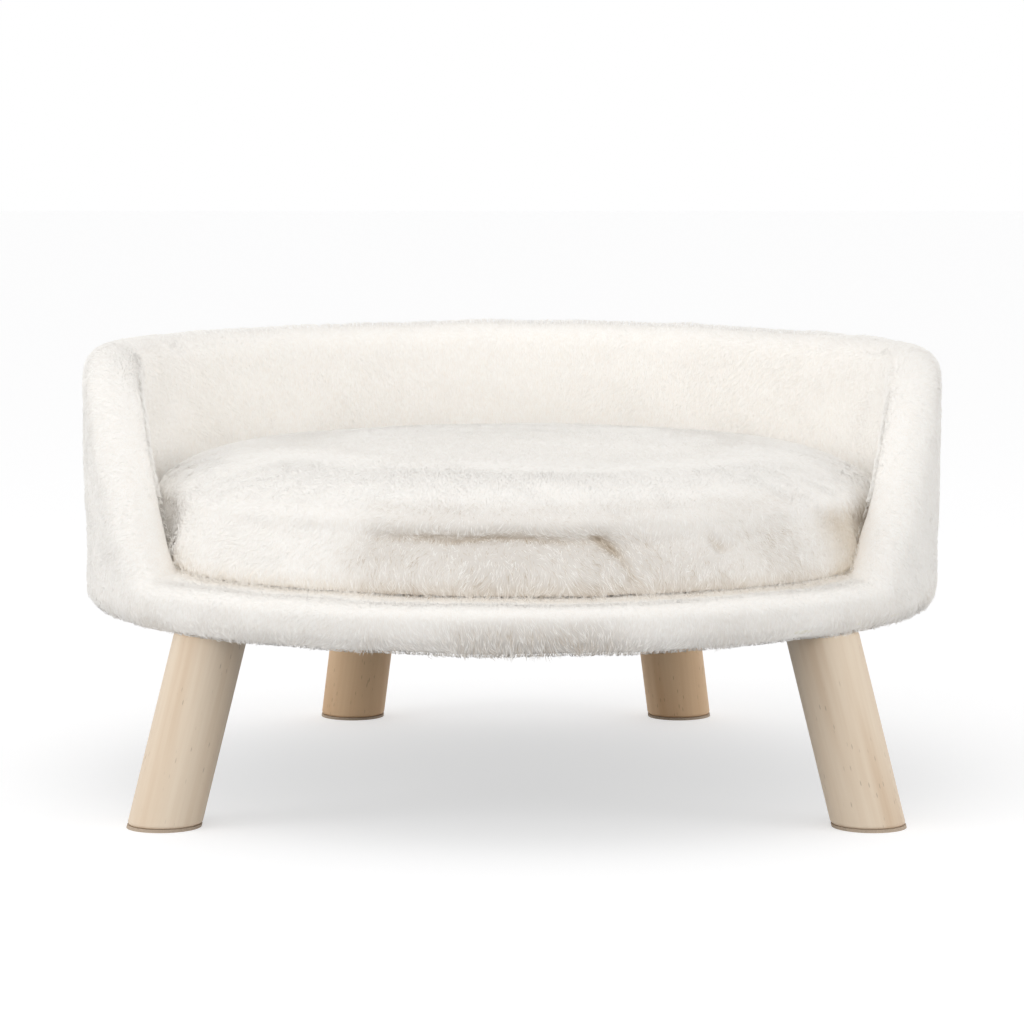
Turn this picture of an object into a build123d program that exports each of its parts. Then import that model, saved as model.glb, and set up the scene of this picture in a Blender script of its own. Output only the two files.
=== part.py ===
from build123d import *
from math import cos, degrees, radians, sin, tan
import os

# Round sofa bed for a small dog: a plush-covered round base on four splayed
# wooden legs, a low curved backrest open to the front, and a loose cushion.
# Millimetres. Z is up, the floor is z = 0, the bed's centre is the Z axis and
# the open front faces -Y. Azimuths are degrees from the front, towards +X.

# Overall form, measured to the tips of the plush
outer_radius = 300.0
overall_height = 307.0
underside_height = 127.0
outer_draw_in = 3.0
rim_thickness = 38.0
seat_flare = 4.0
bottom_edge_rounding = 14.0
front_edge_rounding = 12.0

# Upholstery layers
plush_depth = 7.0
hem_depth = 2.0
hem_width = 22.0
seat_foam_depth = 11.0
panel_thickness = 4.0
panel_top_foam = 12.0
layer_gap = 0.2
body_gap = 0.3
cut_overrun = 5.0

# Base board, set back from the outside of the bed
board_inset = 23.0
board_thickness = 15.0
dust_cover_thickness = 1.0
dust_cover_inset = 1.0

# Arm ends: the wall's front edge rises from the seat on a straight slope and
# turns into the level rim through a large shoulder
arm_azimuth = 60.0
arm_foot_azimuth = 56.7
arm_slope = 38.0
arm_shoulder_radius = 110.0
cover_seam_azimuth = 51.6
rim_flat = 1.0

# Legs
leg_diameter = 48.0
leg_splay = 17.4
leg_top_inset = 14.8
front_leg_azimuth = 50.4
rear_leg_azimuth = 155.1
foot_pad_thickness = 2.0

# Leg fixings: wood screw thread below, metric thread above, tee nut on top
bolt_thread_diameter = 8.0
bolt_wood_diameter = 7.0
bolt_wood_length = 35.0
bolt_tip_below_board_top = 1.0
thread_clearance = 0.05
tee_flange_diameter = 22.0
tee_flange_thickness = 1.5
tee_barrel_diameter = 10.0
tee_barrel_length = 11.0

# Panel screws, driven through the back panel into the board's edge
panel_screw_count = 9
panel_screw_spread = 224.0
screw_head_diameter = 7.5
screw_head_height = 3.0
screw_shank_diameter = 4.0
screw_length = 30.0

# Staples
staple_crown = 10.0
staple_leg = 8.0
staple_wire = 0.7
staple_width = 1.0
staple_count = 24
dust_staple_inset = 4.0
hem_staple_inset = 7.0
staple_leg_spacing = 11.0

# Cushion
cushion_side_gap = 3.5
cushion_height = 79.0
cushion_rest_inset = 18.0
cushion_low_bulge = 16.0
cushion_high_bulge = 48.5
cushion_seam_height = 37.5
cushion_seam_draw = 4.0
cushion_shoulder_inset = 49.5
cushion_shoulder_drop = 8.5
cushion_high_swell = 3.0
cushion_seam_gap = 0.3
bag_thickness = 1.0
bag_side_slack = 2.0
filling_gap = 0.2

# Pleats pressed into the cushion's front where the cover is gathered
pleat_depth = 4.0
pleat_groove_radius = 6.5
pleat_sweep_radius = 34.0
front_pleat_azimuths = (-39.5, 12.5, 26.5, 53.0)
front_pleat_leans = (16.0, 5.0, -9.0, -18.0)

# Zip along the back of the cushion's seam
zip_length = 480.0
zip_mouth_height = 9.6
chain_row_height = 1.9
chain_row_gap = 1.1
chain_thickness = 2.6
chain_depth_in_cover = 1.3
tape_thickness = 0.5
tape_width = 8.0
zip_tape_end = 15.0
slider_length = 9.0
slider_wall = 1.0
slider_clearance = 0.2
slider_post_length = 1.5
slider_start = 9.0
bridge_height = 2.6
bridge_wire = 1.0
bridge_length = 5.0
pull_length = 22.0
pull_width = 5.2
pull_thickness = 1.1
pull_eye_wall = 1.3
zip_stop_length = 3.0

# Levels and radii that follow from the sizes above
hem_bottom = underside_height + dust_cover_thickness
board_bottom = hem_bottom + hem_depth
board_top = board_bottom + board_thickness
seat_foam_top = board_top + seat_foam_depth
seat_top = seat_foam_top + plush_depth
seat_radius = outer_radius - rim_thickness - seat_flare
rim_rounding = (rim_thickness - rim_flat) / 2
board_radius = outer_radius - board_inset
dust_cover_radius = board_radius - dust_cover_inset
panel_inner_radius = board_radius + layer_gap
panel_outer_radius = panel_inner_radius + panel_thickness
panel_middle_radius = (panel_inner_radius + panel_outer_radius) / 2
foam_inset = plush_depth + layer_gap
panel_inset = plush_depth + panel_top_foam
hem_inner_radius = outer_radius - outer_draw_in - plush_depth - hem_width
leg_top_radius = board_radius - leg_top_inset
foot_circle_radius = leg_top_radius + underside_height * tan(radians(leg_splay))
reach = outer_radius + foot_circle_radius
leg_azimuths = {
    "front_left": -front_leg_azimuth,
    "front_right": front_leg_azimuth,
    "rear_left": -rear_leg_azimuth,
    "rear_right": rear_leg_azimuth,
}

os.makedirs("parts", exist_ok=True)

# A section is drawn as (radius, height) on the plane that holds the Z axis
# and the front; an arm outline as (distance along the wall, height).
section_plane = Plane(origin=(0, 0, 0), x_dir=(0, -1, 0), z_dir=(-1, 0, 0))
arm_angle = radians(arm_azimuth)
arm_plane = Plane(
    origin=(0, 0, 0),
    x_dir=(cos(arm_angle), sin(arm_angle), 0),
    z_dir=(sin(arm_angle), -cos(arm_angle), 0),
)


def save(name, shape):
    """Write one piece, or one group of like pieces, under its node's name."""
    shape.label = name
    export_step(shape, f"parts/{name}.step")


def section(points, radii):
    """A closed section with a rounding at each corner."""
    return section_plane * make_face(FilletPolyline(*points, radius=radii, close=True))


def turned(face, start=0, arc=360):
    """Turn a section about the Z axis from one azimuth through an arc."""
    return Rot(0, 0, start) * revolve(face, Axis.Z, arc)


def placed(radius, azimuth, height=0):
    """A location at an azimuth: its X points outwards and its Y along the ring."""
    return Rot(0, 0, azimuth - 90) * Pos(radius, 0, height)


def drum(radius, low, high):
    """An upright cylinder on the Z axis between two heights."""
    return Pos(0, 0, low) * Cylinder(
        radius, high - low, align=(Align.CENTER, Align.CENTER, Align.MIN)
    )


def upright(radius, low, high, place_radius, azimuth):
    """An upright cylinder between two heights, away from the Z axis."""
    return placed(place_radius, azimuth) * drum(radius, low, high)


def mirrored(half):
    """The half on the +X side and its mirror image, as one solid."""
    return half + mirror(half, about=Plane.YZ)


def outer_radius_at(height):
    """The outside of the bed draws in a little towards the bottom."""
    rise = (height - underside_height) / (overall_height - underside_height)
    return outer_radius - outer_draw_in * (1 - rise)


def inner_radius_at(height):
    """The inside of the wall opens a little towards the rim."""
    rise = (height - seat_top) / (overall_height - seat_top)
    return seat_radius + seat_flare * rise


def along_wall(azimuth):
    """The place along the arm plane where the wall's middle has an azimuth."""
    return panel_middle_radius * sin(radians(azimuth - arm_azimuth))


def arm_void(inset):
    """All that lies in front of an arm's sloping end and above the rim."""
    slope = radians(arm_slope)
    shift = inset / cos(slope)
    top = overall_height - inset
    low = underside_height - cut_overrun
    foot = along_wall(arm_foot_azimuth) + shift
    low_end = foot + (low - seat_top) * tan(slope)
    corner = foot + (top - seat_top) * tan(slope)
    high = overall_height + 2 * cut_overrun
    points = (
        (-reach, low),
        (low_end, low),
        (corner, top),
        (reach, top),
        (reach, high),
        (-reach, high),
    )
    radii = (0, 0, arm_shoulder_radius - inset, 0, 0, 0)
    outline = FilletPolyline(*points, radius=radii, close=True)
    return extrude(arm_plane * make_face(outline), reach, both=True)


def front_zone(shift=0):
    """The space on the +X side in front of the cover's upright seam."""
    edge = along_wall(cover_seam_azimuth) + shift
    low = underside_height - cut_overrun
    outline = Polyline((-reach, low), (edge, low), (edge, seat_top), (-reach, seat_top), close=True)
    return extrude(arm_plane * make_face(outline), reach, both=True)


def runs_along_wall(edge, foot):
    """True for the two chains of edges that follow the rim and the arm's end."""
    box = edge.bounding_box()
    on_back_cut = box.max.X < layer_gap
    on_foot = box.max.Z < foot + layer_gap
    across = edge.geom_type == GeomType.LINE and box.size.Z < layer_gap
    return not (on_back_cut or on_foot or across)


def wall_half(inset, foot):
    """The +X half of the backrest, drawn in all round by an inset."""
    high = overall_height + cut_overrun
    points = (
        (inner_radius_at(foot) + inset, foot),
        (outer_radius_at(foot) - inset, foot),
        (outer_radius_at(high) - inset, high),
        (inner_radius_at(high) + inset, high),
    )
    half = turned(section(points, (0, 0, 0, 0)), 0, 180) - arm_void(inset)
    lengthwise = [edge for edge in half.edges() if runs_along_wall(edge, foot)]
    return fillet(lengthwise, rim_rounding - inset)


def band_section(inset, inner, low, high):
    """The section of the base's side band, between two levels."""
    points = (
        (inner, low),
        (outer_radius_at(low) - inset, low),
        (outer_radius_at(high) - inset, high),
        (inner, high),
    )
    low_rounding = max(bottom_edge_rounding - inset, layer_gap)
    high_rounding = max(front_edge_rounding - inset, layer_gap)
    return section(points, (0, low_rounding, high_rounding, 0))


def upholstery(inset, inner, low, high, foot):
    """The backrest with the band below it, drawn in all round by an inset."""
    band = turned(band_section(inset, inner, low, high), 0, 180) - front_zone(inset)
    return mirrored(band + wall_half(inset, foot))


def seat_stack(spread=0):
    """The space of the board and of what lies on it, inside the back panel."""
    return drum(board_radius + spread, board_bottom - spread, seat_top + spread)


def screw_places():
    """Azimuths of the screws that hold the back panel."""
    step = panel_screw_spread / (panel_screw_count - 1)
    return [180 - panel_screw_spread / 2 + step * index for index in range(panel_screw_count)]


def panel_screw(spread=0):
    """A countersunk screw lying along X, its head flush with the panel."""
    head = panel_outer_radius + spread
    tip = panel_outer_radius - screw_length - 2 * spread
    shank = screw_shank_diameter / 2 + spread
    points = (
        (tip, 0),
        (tip + shank, shank),
        (head - screw_head_height, shank),
        (head, screw_head_diameter / 2 + spread),
        (head, 0),
    )
    height = board_bottom + board_thickness / 2
    blank = revolve(Plane.XZ * make_face(Polyline(*points, close=True)), Axis.X)
    return Pos(0, 0, height) * blank


def panel_screw_group(spread=0):
    """The screws round the back of the board."""
    return Compound([Rot(0, 0, azimuth - 90) * panel_screw(spread) for azimuth in screw_places()])


def leg_cylinder(azimuth, low, high, diameter=leg_diameter):
    """A splayed leg's cylinder, cut level at two heights."""
    middle = (low + high) / 2
    out = foot_circle_radius - middle * tan(radians(leg_splay))
    rod = placed(out, azimuth, middle) * Rot(0, -leg_splay, 0) * Cylinder(diameter / 2, reach)
    return rod & drum(reach, low, high)


def leg_bolt(azimuth, spread=0):
    """A hanger bolt: metric thread in the tee nut, wood thread in the leg."""
    tip = board_top - bolt_tip_below_board_top
    foot = underside_height - bolt_wood_length - spread
    thread = bolt_thread_diameter / 2 + spread
    wood_thread = bolt_wood_diameter / 2 + spread
    upper = upright(thread, underside_height, tip, leg_top_radius, azimuth)
    lower = upright(wood_thread, foot, underside_height, leg_top_radius, azimuth)
    return upper + lower


def tee_nut(azimuth, spread=0):
    """A tee nut: its flange lies on the board and its barrel is let into it."""
    foot = board_top - tee_barrel_length - spread
    crest = board_top + tee_flange_thickness + spread
    flange_radius = tee_flange_diameter / 2 + spread
    barrel_radius = tee_barrel_diameter / 2 + spread
    flange = upright(flange_radius, board_top, crest, leg_top_radius, azimuth)
    barrel = upright(barrel_radius, foot, board_top, leg_top_radius, azimuth)
    return flange + barrel


def staple_places(offset):
    """Azimuths of a ring of staples, left out where a leg stands."""
    step = 360 / staple_count
    azimuths = [step * (index + offset) for index in range(staple_count)]
    return [azimuth for azimuth in azimuths if clear_of_legs(azimuth)]


def clear_of_legs(azimuth):
    """True where a staple stands well away from every leg."""
    turns = [(azimuth - leg + 180) % 360 - 180 for leg in leg_azimuths.values()]
    return min(abs(turn) for turn in turns) > staple_leg_spacing


def staples(radius, crown_bottom, offset, spread=0):
    """A ring of staples with their crowns down, as separate solids."""
    crown = Pos(0, 0, crown_bottom - spread) * Box(
        staple_width + 2 * spread,
        staple_crown + 2 * spread,
        staple_wire + 2 * spread,
        align=(Align.CENTER, Align.CENTER, Align.MIN),
    )
    prong = Pos(0, 0, crown_bottom) * Box(
        staple_width + 2 * spread,
        staple_wire + 2 * spread,
        staple_leg + spread,
        align=(Align.CENTER, Align.CENTER, Align.MIN),
    )
    side = (staple_crown - staple_wire) / 2
    one = crown + Pos(0, side, 0) * prong + Pos(0, -side, 0) * prong
    return Compound([placed(radius, azimuth) * one for azimuth in staple_places(offset)])


def dust_staples(spread=0):
    """Staples that hold the dust cover."""
    return staples(dust_cover_radius - dust_staple_inset, underside_height - staple_wire, 0, spread)


def hem_staples(spread=0):
    """Staples that hold the turned-in plush, hidden by the dust cover."""
    return staples(hem_inner_radius + hem_staple_inset, hem_bottom, 1 / 2, spread)


def build_base():
    """Board, foam and plush of the round base, with the cloth under it."""
    bolts = Compound([leg_bolt(azimuth, thread_clearance) for azimuth in leg_azimuths.values()])
    nuts = Compound([tee_nut(azimuth, thread_clearance) for azimuth in leg_azimuths.values()])
    fixings = [nuts, dust_staples(thread_clearance), hem_staples(thread_clearance)]

    board = drum(board_radius, board_bottom, board_top)
    for cutter in fixings + [bolts, panel_screw_group(thread_clearance)]:
        board -= cutter
    save("base_board", board)

    dust_cover = drum(dust_cover_radius, underside_height, hem_bottom)
    save("dust_cover", dust_cover - bolts - dust_staples(thread_clearance) - hem_staples(thread_clearance))
    save("dust_cover_staples", dust_staples())
    save("hem_staples", hem_staples())

    half_disc = (
        (0, underside_height),
        (reach, underside_height),
        (reach, seat_top),
        (0, seat_top),
    )
    half_space = turned(section(half_disc, (0, 0, 0, 0)), 0, 180)
    front = mirrored(half_space & front_zone(-layer_gap))
    board_space = drum(board_radius + layer_gap, board_bottom - cut_overrun, board_top + layer_gap)
    low = board_bottom + layer_gap
    foam_ring = turned(band_section(foam_inset, hem_inner_radius, low, seat_foam_top - layer_gap))
    foam_disc = drum(board_radius, board_top + layer_gap, seat_foam_top - layer_gap)
    foam = (foam_ring & front) - board_space + foam_disc - nuts
    save("base_foam", foam)

    blank = turned(band_section(0, 0, underside_height, seat_top))
    hollow = turned(band_section(plush_depth, 0, board_bottom, seat_foam_top))
    open_bottom = drum(hem_inner_radius, underside_height - cut_overrun, board_bottom + layer_gap)
    dust_space = drum(dust_cover_radius + layer_gap, underside_height - cut_overrun, hem_bottom)
    skin = (blank - hollow - open_bottom - dust_space) & front
    seat_disc = drum(board_radius, seat_foam_top, seat_top)
    cover = skin + seat_disc
    for cutter in (dust_staples(thread_clearance), hem_staples(thread_clearance)):
        cover -= cutter
    save("base_cover", cover)


def build_back():
    """Bent panel, foam and plush of the backrest."""
    high = overall_height - panel_inset
    sheet = section(
        (
            (panel_inner_radius, board_bottom),
            (panel_outer_radius, board_bottom),
            (panel_outer_radius, high + cut_overrun),
            (panel_inner_radius, high + cut_overrun),
        ),
        (0, 0, 0, 0),
    )
    panel_blank = turned(sheet, 0, 180) - arm_void(panel_inset)
    panel = mirrored(panel_blank) - panel_screw_group(thread_clearance)
    save("back_panel", panel)
    save("panel_screws", panel_screw_group())

    gap_sheet = section(
        (
            (panel_inner_radius - layer_gap, board_bottom - cut_overrun),
            (panel_outer_radius + layer_gap, board_bottom - cut_overrun),
            (panel_outer_radius + layer_gap, high + cut_overrun),
            (panel_inner_radius - layer_gap, high + cut_overrun),
        ),
        (0, 0, 0, 0),
    )
    panel_space = mirrored(turned(gap_sheet, 0, 180) - arm_void(panel_inset - layer_gap))
    low = board_bottom + layer_gap
    foot = seat_foam_top - front_edge_rounding
    stuffing = upholstery(foam_inset, board_radius, low, seat_foam_top, foot)
    stuffing = stuffing - seat_stack(layer_gap) - panel_space
    inside = drum(panel_middle_radius, underside_height, overall_height)
    save("back_foam_inner", stuffing & inside)
    save("back_foam_outer", stuffing - inside)

    outside = upholstery(0, hem_inner_radius, underside_height, seat_top, foot)
    hollow = upholstery(plush_depth, board_radius, board_bottom, seat_foam_top, foot)
    dust_space = drum(dust_cover_radius + layer_gap, underside_height - cut_overrun, hem_bottom)
    hem_space = drum(board_radius, board_bottom, seat_top + layer_gap)
    skin = outside - hollow - dust_space - hem_space
    for cutter in (dust_staples(thread_clearance), hem_staples(thread_clearance)):
        skin -= cutter
    seam_radius = outer_radius - plush_depth
    outer_side = drum(reach, underside_height - cut_overrun, overall_height + cut_overrun)
    outer_side -= drum(seam_radius, seat_foam_top, overall_height + 2 * cut_overrun)
    save("back_cover_outer", skin & outer_side)
    save("back_cover_inner", skin - outer_side)


def build_legs():
    """Four splayed legs with level ends, their pads, bolts and tee nuts."""
    for place, azimuth in leg_azimuths.items():
        leg = leg_cylinder(azimuth, foot_pad_thickness, underside_height)
        save(f"leg_{place}", leg - leg_bolt(azimuth, thread_clearance))
        save(f"foot_pad_{place}", leg_cylinder(azimuth, 0, foot_pad_thickness))
    bolts = [leg_bolt(azimuth) for azimuth in leg_azimuths.values()]
    save("leg_bolts", Compound(bolts))
    nuts = [tee_nut(azimuth) - leg_bolt(azimuth, thread_clearance) for azimuth in leg_azimuths.values()]
    save("tee_nuts", Compound(nuts))


cushion_bottom = seat_top + body_gap
cushion_radius = seat_radius - cushion_side_gap
cushion_seam = cushion_bottom + cushion_seam_height


def cushion_face(inset, side_inset):
    """The cushion's section from its axis outwards, drawn in by an inset."""
    low = cushion_bottom + inset
    crown = cushion_bottom + cushion_height - inset
    side = cushion_radius - side_inset
    low_bulge = (side, cushion_bottom + cushion_low_bulge)
    high_bulge = (side, cushion_bottom + cushion_high_bulge)
    rest = (side - cushion_rest_inset, low)
    shoulder = (side - cushion_shoulder_inset, crown - cushion_shoulder_drop)
    flat = Line((0, low), rest)
    low_side = TangentArc(rest, low_bulge, tangent=(1, 0))
    waist = [Line(low_bulge, high_bulge)]
    if inset == 0:
        seam = (side - cushion_seam_draw, cushion_seam)
        below = TangentArc(low_bulge, seam, tangent=(0, 1))
        above = TangentArc(high_bulge, seam, tangent=(0, -1))
        waist = [below, above]
    high_side = ThreePointArc(high_bulge, swelled(high_bulge, shoulder, cushion_high_swell), shoulder)
    top = TangentArc((0, crown), shoulder, tangent=(1, 0))
    axis = Line((0, crown), (0, low))
    return section_plane * make_face([flat, low_side, *waist, high_side, top, axis])


def swelled(start, end, swell):
    """The middle of two points, moved to the right of the way between them."""
    run = Vector(*end) - Vector(*start)
    middle = (Vector(*start) + Vector(*end)) / 2
    outwards = Vector(run.Y, -run.X).normalized()
    return middle + outwards * swell


def pleat(azimuth, lean):
    """A ring that presses one tapering pleat into the cushion's side."""
    ring = Rot(90, 0, 0) * Torus(pleat_sweep_radius, pleat_groove_radius)
    out = cushion_radius + pleat_sweep_radius + pleat_groove_radius - pleat_depth
    return placed(out, azimuth, cushion_seam) * Rot(lean, 0, 0) * ring


def zip_span():
    """The angle that the zip covers round the cushion, in degrees."""
    return degrees(zip_length / cushion_radius)


def zip_arc(inner, outer, low, high, start, span):
    """A strip of the zip: a small rectangle turned about the cushion's axis."""
    points = ((inner, low), (outer, low), (outer, high), (inner, high))
    return turned(section(points, (0, 0, 0, 0)), start, span)


def arc_of(length, radius):
    """The angle of an arc from its length, in degrees."""
    return degrees(length / radius)


tape_outer = cushion_radius - plush_depth - layer_gap
tape_inner = tape_outer - tape_thickness
chain_outer = tape_outer + chain_depth_in_cover
chain_inner = chain_outer - chain_thickness
chain_half = chain_row_gap / 2 + chain_row_height
zip_begin = 180 - zip_span() / 2


def tape_and_chain(side):
    """Heights of the tape and the row of teeth above (1) or below (-1) the seam."""
    rows = sorted((cushion_seam + side * chain_row_gap / 2, cushion_seam + side * chain_half))
    tape = sorted((cushion_seam + side * chain_half, cushion_seam + side * (chain_half + tape_width)))
    return rows, tape


def build_cushion():
    """Cover, inner bag and filling of the loose cushion."""
    blank = turned(cushion_face(0, 0))
    for azimuth, lean in zip(front_pleat_azimuths, front_pleat_leans):
        blank -= pleat(azimuth, lean)
    hollow = turned(cushion_face(plush_depth, plush_depth))
    skin = blank - hollow
    margin = arc_of(zip_tape_end + body_gap, chain_outer)
    skin -= zip_arc(
        cushion_radius - 2 * plush_depth,
        reach,
        cushion_seam - zip_mouth_height / 2,
        cushion_seam + zip_mouth_height / 2,
        zip_begin - margin,
        zip_span() + 2 * margin,
    )
    seam_low = cushion_seam - cushion_seam_gap / 2
    seam_high = cushion_seam + cushion_seam_gap / 2
    save("cushion_top_panel", skin & drum(reach, seam_high, overall_height))
    save("cushion_bottom_panel", skin & drum(reach, underside_height, seam_low))

    bag_inset = plush_depth + layer_gap
    bag_side = plush_depth + bag_side_slack + slider_wall
    bag = turned(cushion_face(bag_inset, bag_side))
    bag -= turned(cushion_face(bag_inset + bag_thickness, bag_side + bag_thickness))
    save("cushion_inner_bag", bag)
    filling_inset = bag_thickness + filling_gap
    save("cushion_filling", turned(cushion_face(bag_inset + filling_inset, bag_side + filling_inset)))


def build_zip():
    """Tapes, rows of teeth, end stops, slider and pull of the cushion's zip."""
    tail = arc_of(zip_tape_end, chain_outer)
    tape_span = zip_span() + 2 * tail
    for name, side in (("upper", 1), ("lower", -1)):
        rows, tape = tape_and_chain(side)
        save(f"zip_tape_{name}", zip_arc(tape_inner, tape_outer, *tape, zip_begin - tail, tape_span))
        save(f"zip_chain_{name}", zip_arc(chain_inner, chain_outer, *rows, zip_begin, zip_span()))

    stop_arc = arc_of(zip_stop_length, chain_outer)
    stop_low = cushion_seam - chain_half
    stop_high = cushion_seam + chain_half
    first = zip_arc(chain_inner, chain_outer, stop_low, stop_high, zip_begin - stop_arc, stop_arc)
    last = zip_arc(chain_inner, chain_outer, stop_low, stop_high, zip_begin + zip_span(), stop_arc)
    save("zip_stops", Compound([first, last]))

    save("zip_slider", zip_slider())
    save("zip_pull", zip_pull())


slider_azimuth = zip_begin + arc_of(slider_start, chain_outer)
slider_face = chain_outer + slider_clearance + slider_wall
bridge_radius = slider_face + (bridge_height - bridge_wire) / 2


def zip_slider():
    """The slider's two plates round both rows of teeth, its post and bridge."""
    span = arc_of(slider_length, chain_outer)
    start = slider_azimuth - span / 2
    half = chain_half + slider_clearance
    low = cushion_seam - half - slider_wall
    high = cushion_seam + half + slider_wall
    body = zip_arc(chain_inner - slider_clearance - slider_wall, slider_face, low, high, start, span)
    tunnel = zip_arc(
        chain_inner - slider_clearance,
        chain_outer + slider_clearance,
        cushion_seam - half,
        cushion_seam + half,
        start - span,
        3 * span,
    )
    slit = zip_arc(
        tape_inner - slider_clearance,
        tape_outer + slider_clearance,
        low - cut_overrun,
        high + cut_overrun,
        start - span,
        3 * span,
    )
    post_half = chain_row_gap / 2 - slider_clearance
    post = zip_arc(
        chain_inner - slider_clearance - slider_wall,
        slider_face,
        cushion_seam - post_half,
        cushion_seam + post_half,
        slider_azimuth - arc_of(slider_post_length, chain_outer) / 2,
        arc_of(slider_post_length, chain_outer),
    )
    return body - tunnel - slit + post + slider_bridge()


def slider_bridge():
    """A small staple on the slider's face, round which the pull's eye turns."""
    outer = Box(2 * bridge_height, bridge_length, bridge_wire)
    window = Box(2 * (bridge_height - bridge_wire), bridge_length - 2 * bridge_wire, 2 * bridge_wire)
    loop = placed(slider_face, slider_azimuth, cushion_seam) * (outer - window)
    return loop - drum(slider_face - slider_wall / 2, underside_height, overall_height)


def zip_pull():
    """A flat pull whose eye goes through the bridge and lies along the zip."""
    strip = Box(pull_thickness, pull_length, pull_width, align=(Align.CENTER, Align.MIN, Align.CENTER))
    eye_length = bridge_length / 2 + pull_eye_wall
    eye = Box(2 * pull_thickness, eye_length, pull_width - 2 * pull_eye_wall)
    pivot = Pos(0, -pull_eye_wall / 2, 0)
    blank = pivot * (strip + Cylinder(pull_thickness / 2, pull_width))
    opening = Pos(0, eye_length / 2, 0) * eye
    return placed(bridge_radius, slider_azimuth, cushion_seam) * (blank - opening)


build_base()
build_back()
build_legs()
build_cushion()
build_zip()
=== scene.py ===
from math import cos, pi, radians, sin

import bmesh
import bpy
import numpy as np
from bpy.props import FloatProperty, FloatVectorProperty, PointerProperty
from bpy.types import Operator, Panel, PropertyGroup
from mathutils import Matrix, Vector
from mathutils.bvhtree import BVHTree
from mathutils.kdtree import KDTree


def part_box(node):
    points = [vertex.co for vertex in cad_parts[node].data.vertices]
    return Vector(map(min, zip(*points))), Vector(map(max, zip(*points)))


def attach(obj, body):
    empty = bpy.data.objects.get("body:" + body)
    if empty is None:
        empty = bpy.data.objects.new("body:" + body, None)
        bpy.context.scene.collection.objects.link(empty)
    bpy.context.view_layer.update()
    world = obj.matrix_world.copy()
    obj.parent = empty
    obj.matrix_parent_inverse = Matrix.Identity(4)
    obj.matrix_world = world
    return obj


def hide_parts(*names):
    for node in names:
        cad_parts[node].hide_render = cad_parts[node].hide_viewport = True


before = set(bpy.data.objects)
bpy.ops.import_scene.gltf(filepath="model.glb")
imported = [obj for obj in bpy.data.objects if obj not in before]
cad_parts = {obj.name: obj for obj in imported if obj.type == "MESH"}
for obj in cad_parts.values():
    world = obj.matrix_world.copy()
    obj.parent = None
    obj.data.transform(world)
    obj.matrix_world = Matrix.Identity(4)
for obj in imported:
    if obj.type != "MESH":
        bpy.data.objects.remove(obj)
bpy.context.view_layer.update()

bl_info = {
    "name": "Round Sofa Bed",
    "version": (1, 0, 0),
    "blender": (4, 5, 0),
    "location": "View3D > Sidebar > Sofa Bed",
    "description": "Dresses a raised round sofa bed for a small dog in plush, wood, felt and its zip",
    "category": "Object",
}

MM = 0.001


def lengths(*millimetres):
    """Lengths in metres."""
    return tuple(length * MM for length in millimetres)


def angles(*degrees):
    """Angles in radians."""
    return tuple(radians(angle) for angle in degrees)


# Heights and radii that the covers follow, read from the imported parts
lower_panel_low, lower_panel_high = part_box("cushion_bottom_panel")
upper_panel_low, upper_panel_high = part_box("cushion_top_panel")
chain_low, chain_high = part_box("zip_chain_upper")
SEAT_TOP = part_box("base_cover")[1].z
CUSHION_FLOOR = lower_panel_low.z
CUSHION_SEAM = (lower_panel_high.z + upper_panel_low.z) / 2
CUSHION_RADIUS = upper_panel_high.x
ZIP_HALF_ANGLE = float(np.arctan2(chain_high.x, chain_low.y))
TAPE_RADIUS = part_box("zip_tape_upper")[1].y

# Radius past which a place counts as the cushion's side, and rounding of its packed lower edge
CUSHION_SIDE = CUSHION_RADIUS * 0.8
CUSHION_CORNER = 18 * MM


class PlushSizes(PropertyGroup):
    """The plush of the bed and of the cushion."""

    pile_length: FloatProperty(
        name="Pile length", description="Length of one lock of hair", default=6.5 * MM, unit="LENGTH"
    )
    pile_height: FloatProperty(
        name="Pile height",
        description="From the backing cloth to the tips",
        default=2.6 * MM,
        unit="LENGTH",
    )
    spacing: FloatProperty(
        name="Spacing", description="Distance between locks that show", default=1.5 * MM, unit="LENGTH"
    )
    hidden_spacing: FloatProperty(
        name="Hidden spacing",
        description="Distance between locks under the cushion",
        default=3.6 * MM,
        unit="LENGTH",
    )
    lock_width: FloatProperty(
        name="Lock width", description="Width of a lock half way up", default=0.42 * MM, unit="LENGTH"
    )
    tuft_size: FloatProperty(
        name="Tuft size", description="Distance between tufts", default=4.2 * MM, unit="LENGTH"
    )
    tuft_pull: FloatProperty(
        name="Tuft pull",
        description="How far tips gather in a tuft",
        default=0.5,
        min=0,
        max=1,
        subtype="FACTOR",
    )
    softness: FloatProperty(
        name="Softness",
        description="How far a lock is shaded as the plush round it rather than by itself",
        default=0.35,
        min=0,
        max=1,
        subtype="FACTOR",
    )
    tip_colour: FloatVectorProperty(
        name="Tip colour",
        description="Colour of the tips",
        default=(0.955, 0.938, 0.905),
        subtype="COLOR",
    )
    # Painted shade: roots darker and warmer than the tips stand in for the shade low in the pile, which
    # casts no shadows
    root_painted_shade_colour: FloatVectorProperty(
        name="Root colour", description="Colour of the roots", default=(0.90, 0.85, 0.79), subtype="COLOR"
    )
    # Painted shade: the tint laid on the pile and its backing in folds, in the corners beside the arms,
    # along the cushion's hem and in a ring on the seat round the cushion
    painted_shade_colour: FloatVectorProperty(
        name="Fold colour",
        description="Tint of the pile in folds and corners",
        default=(0.74, 0.67, 0.58),
        subtype="COLOR",
    )


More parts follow.
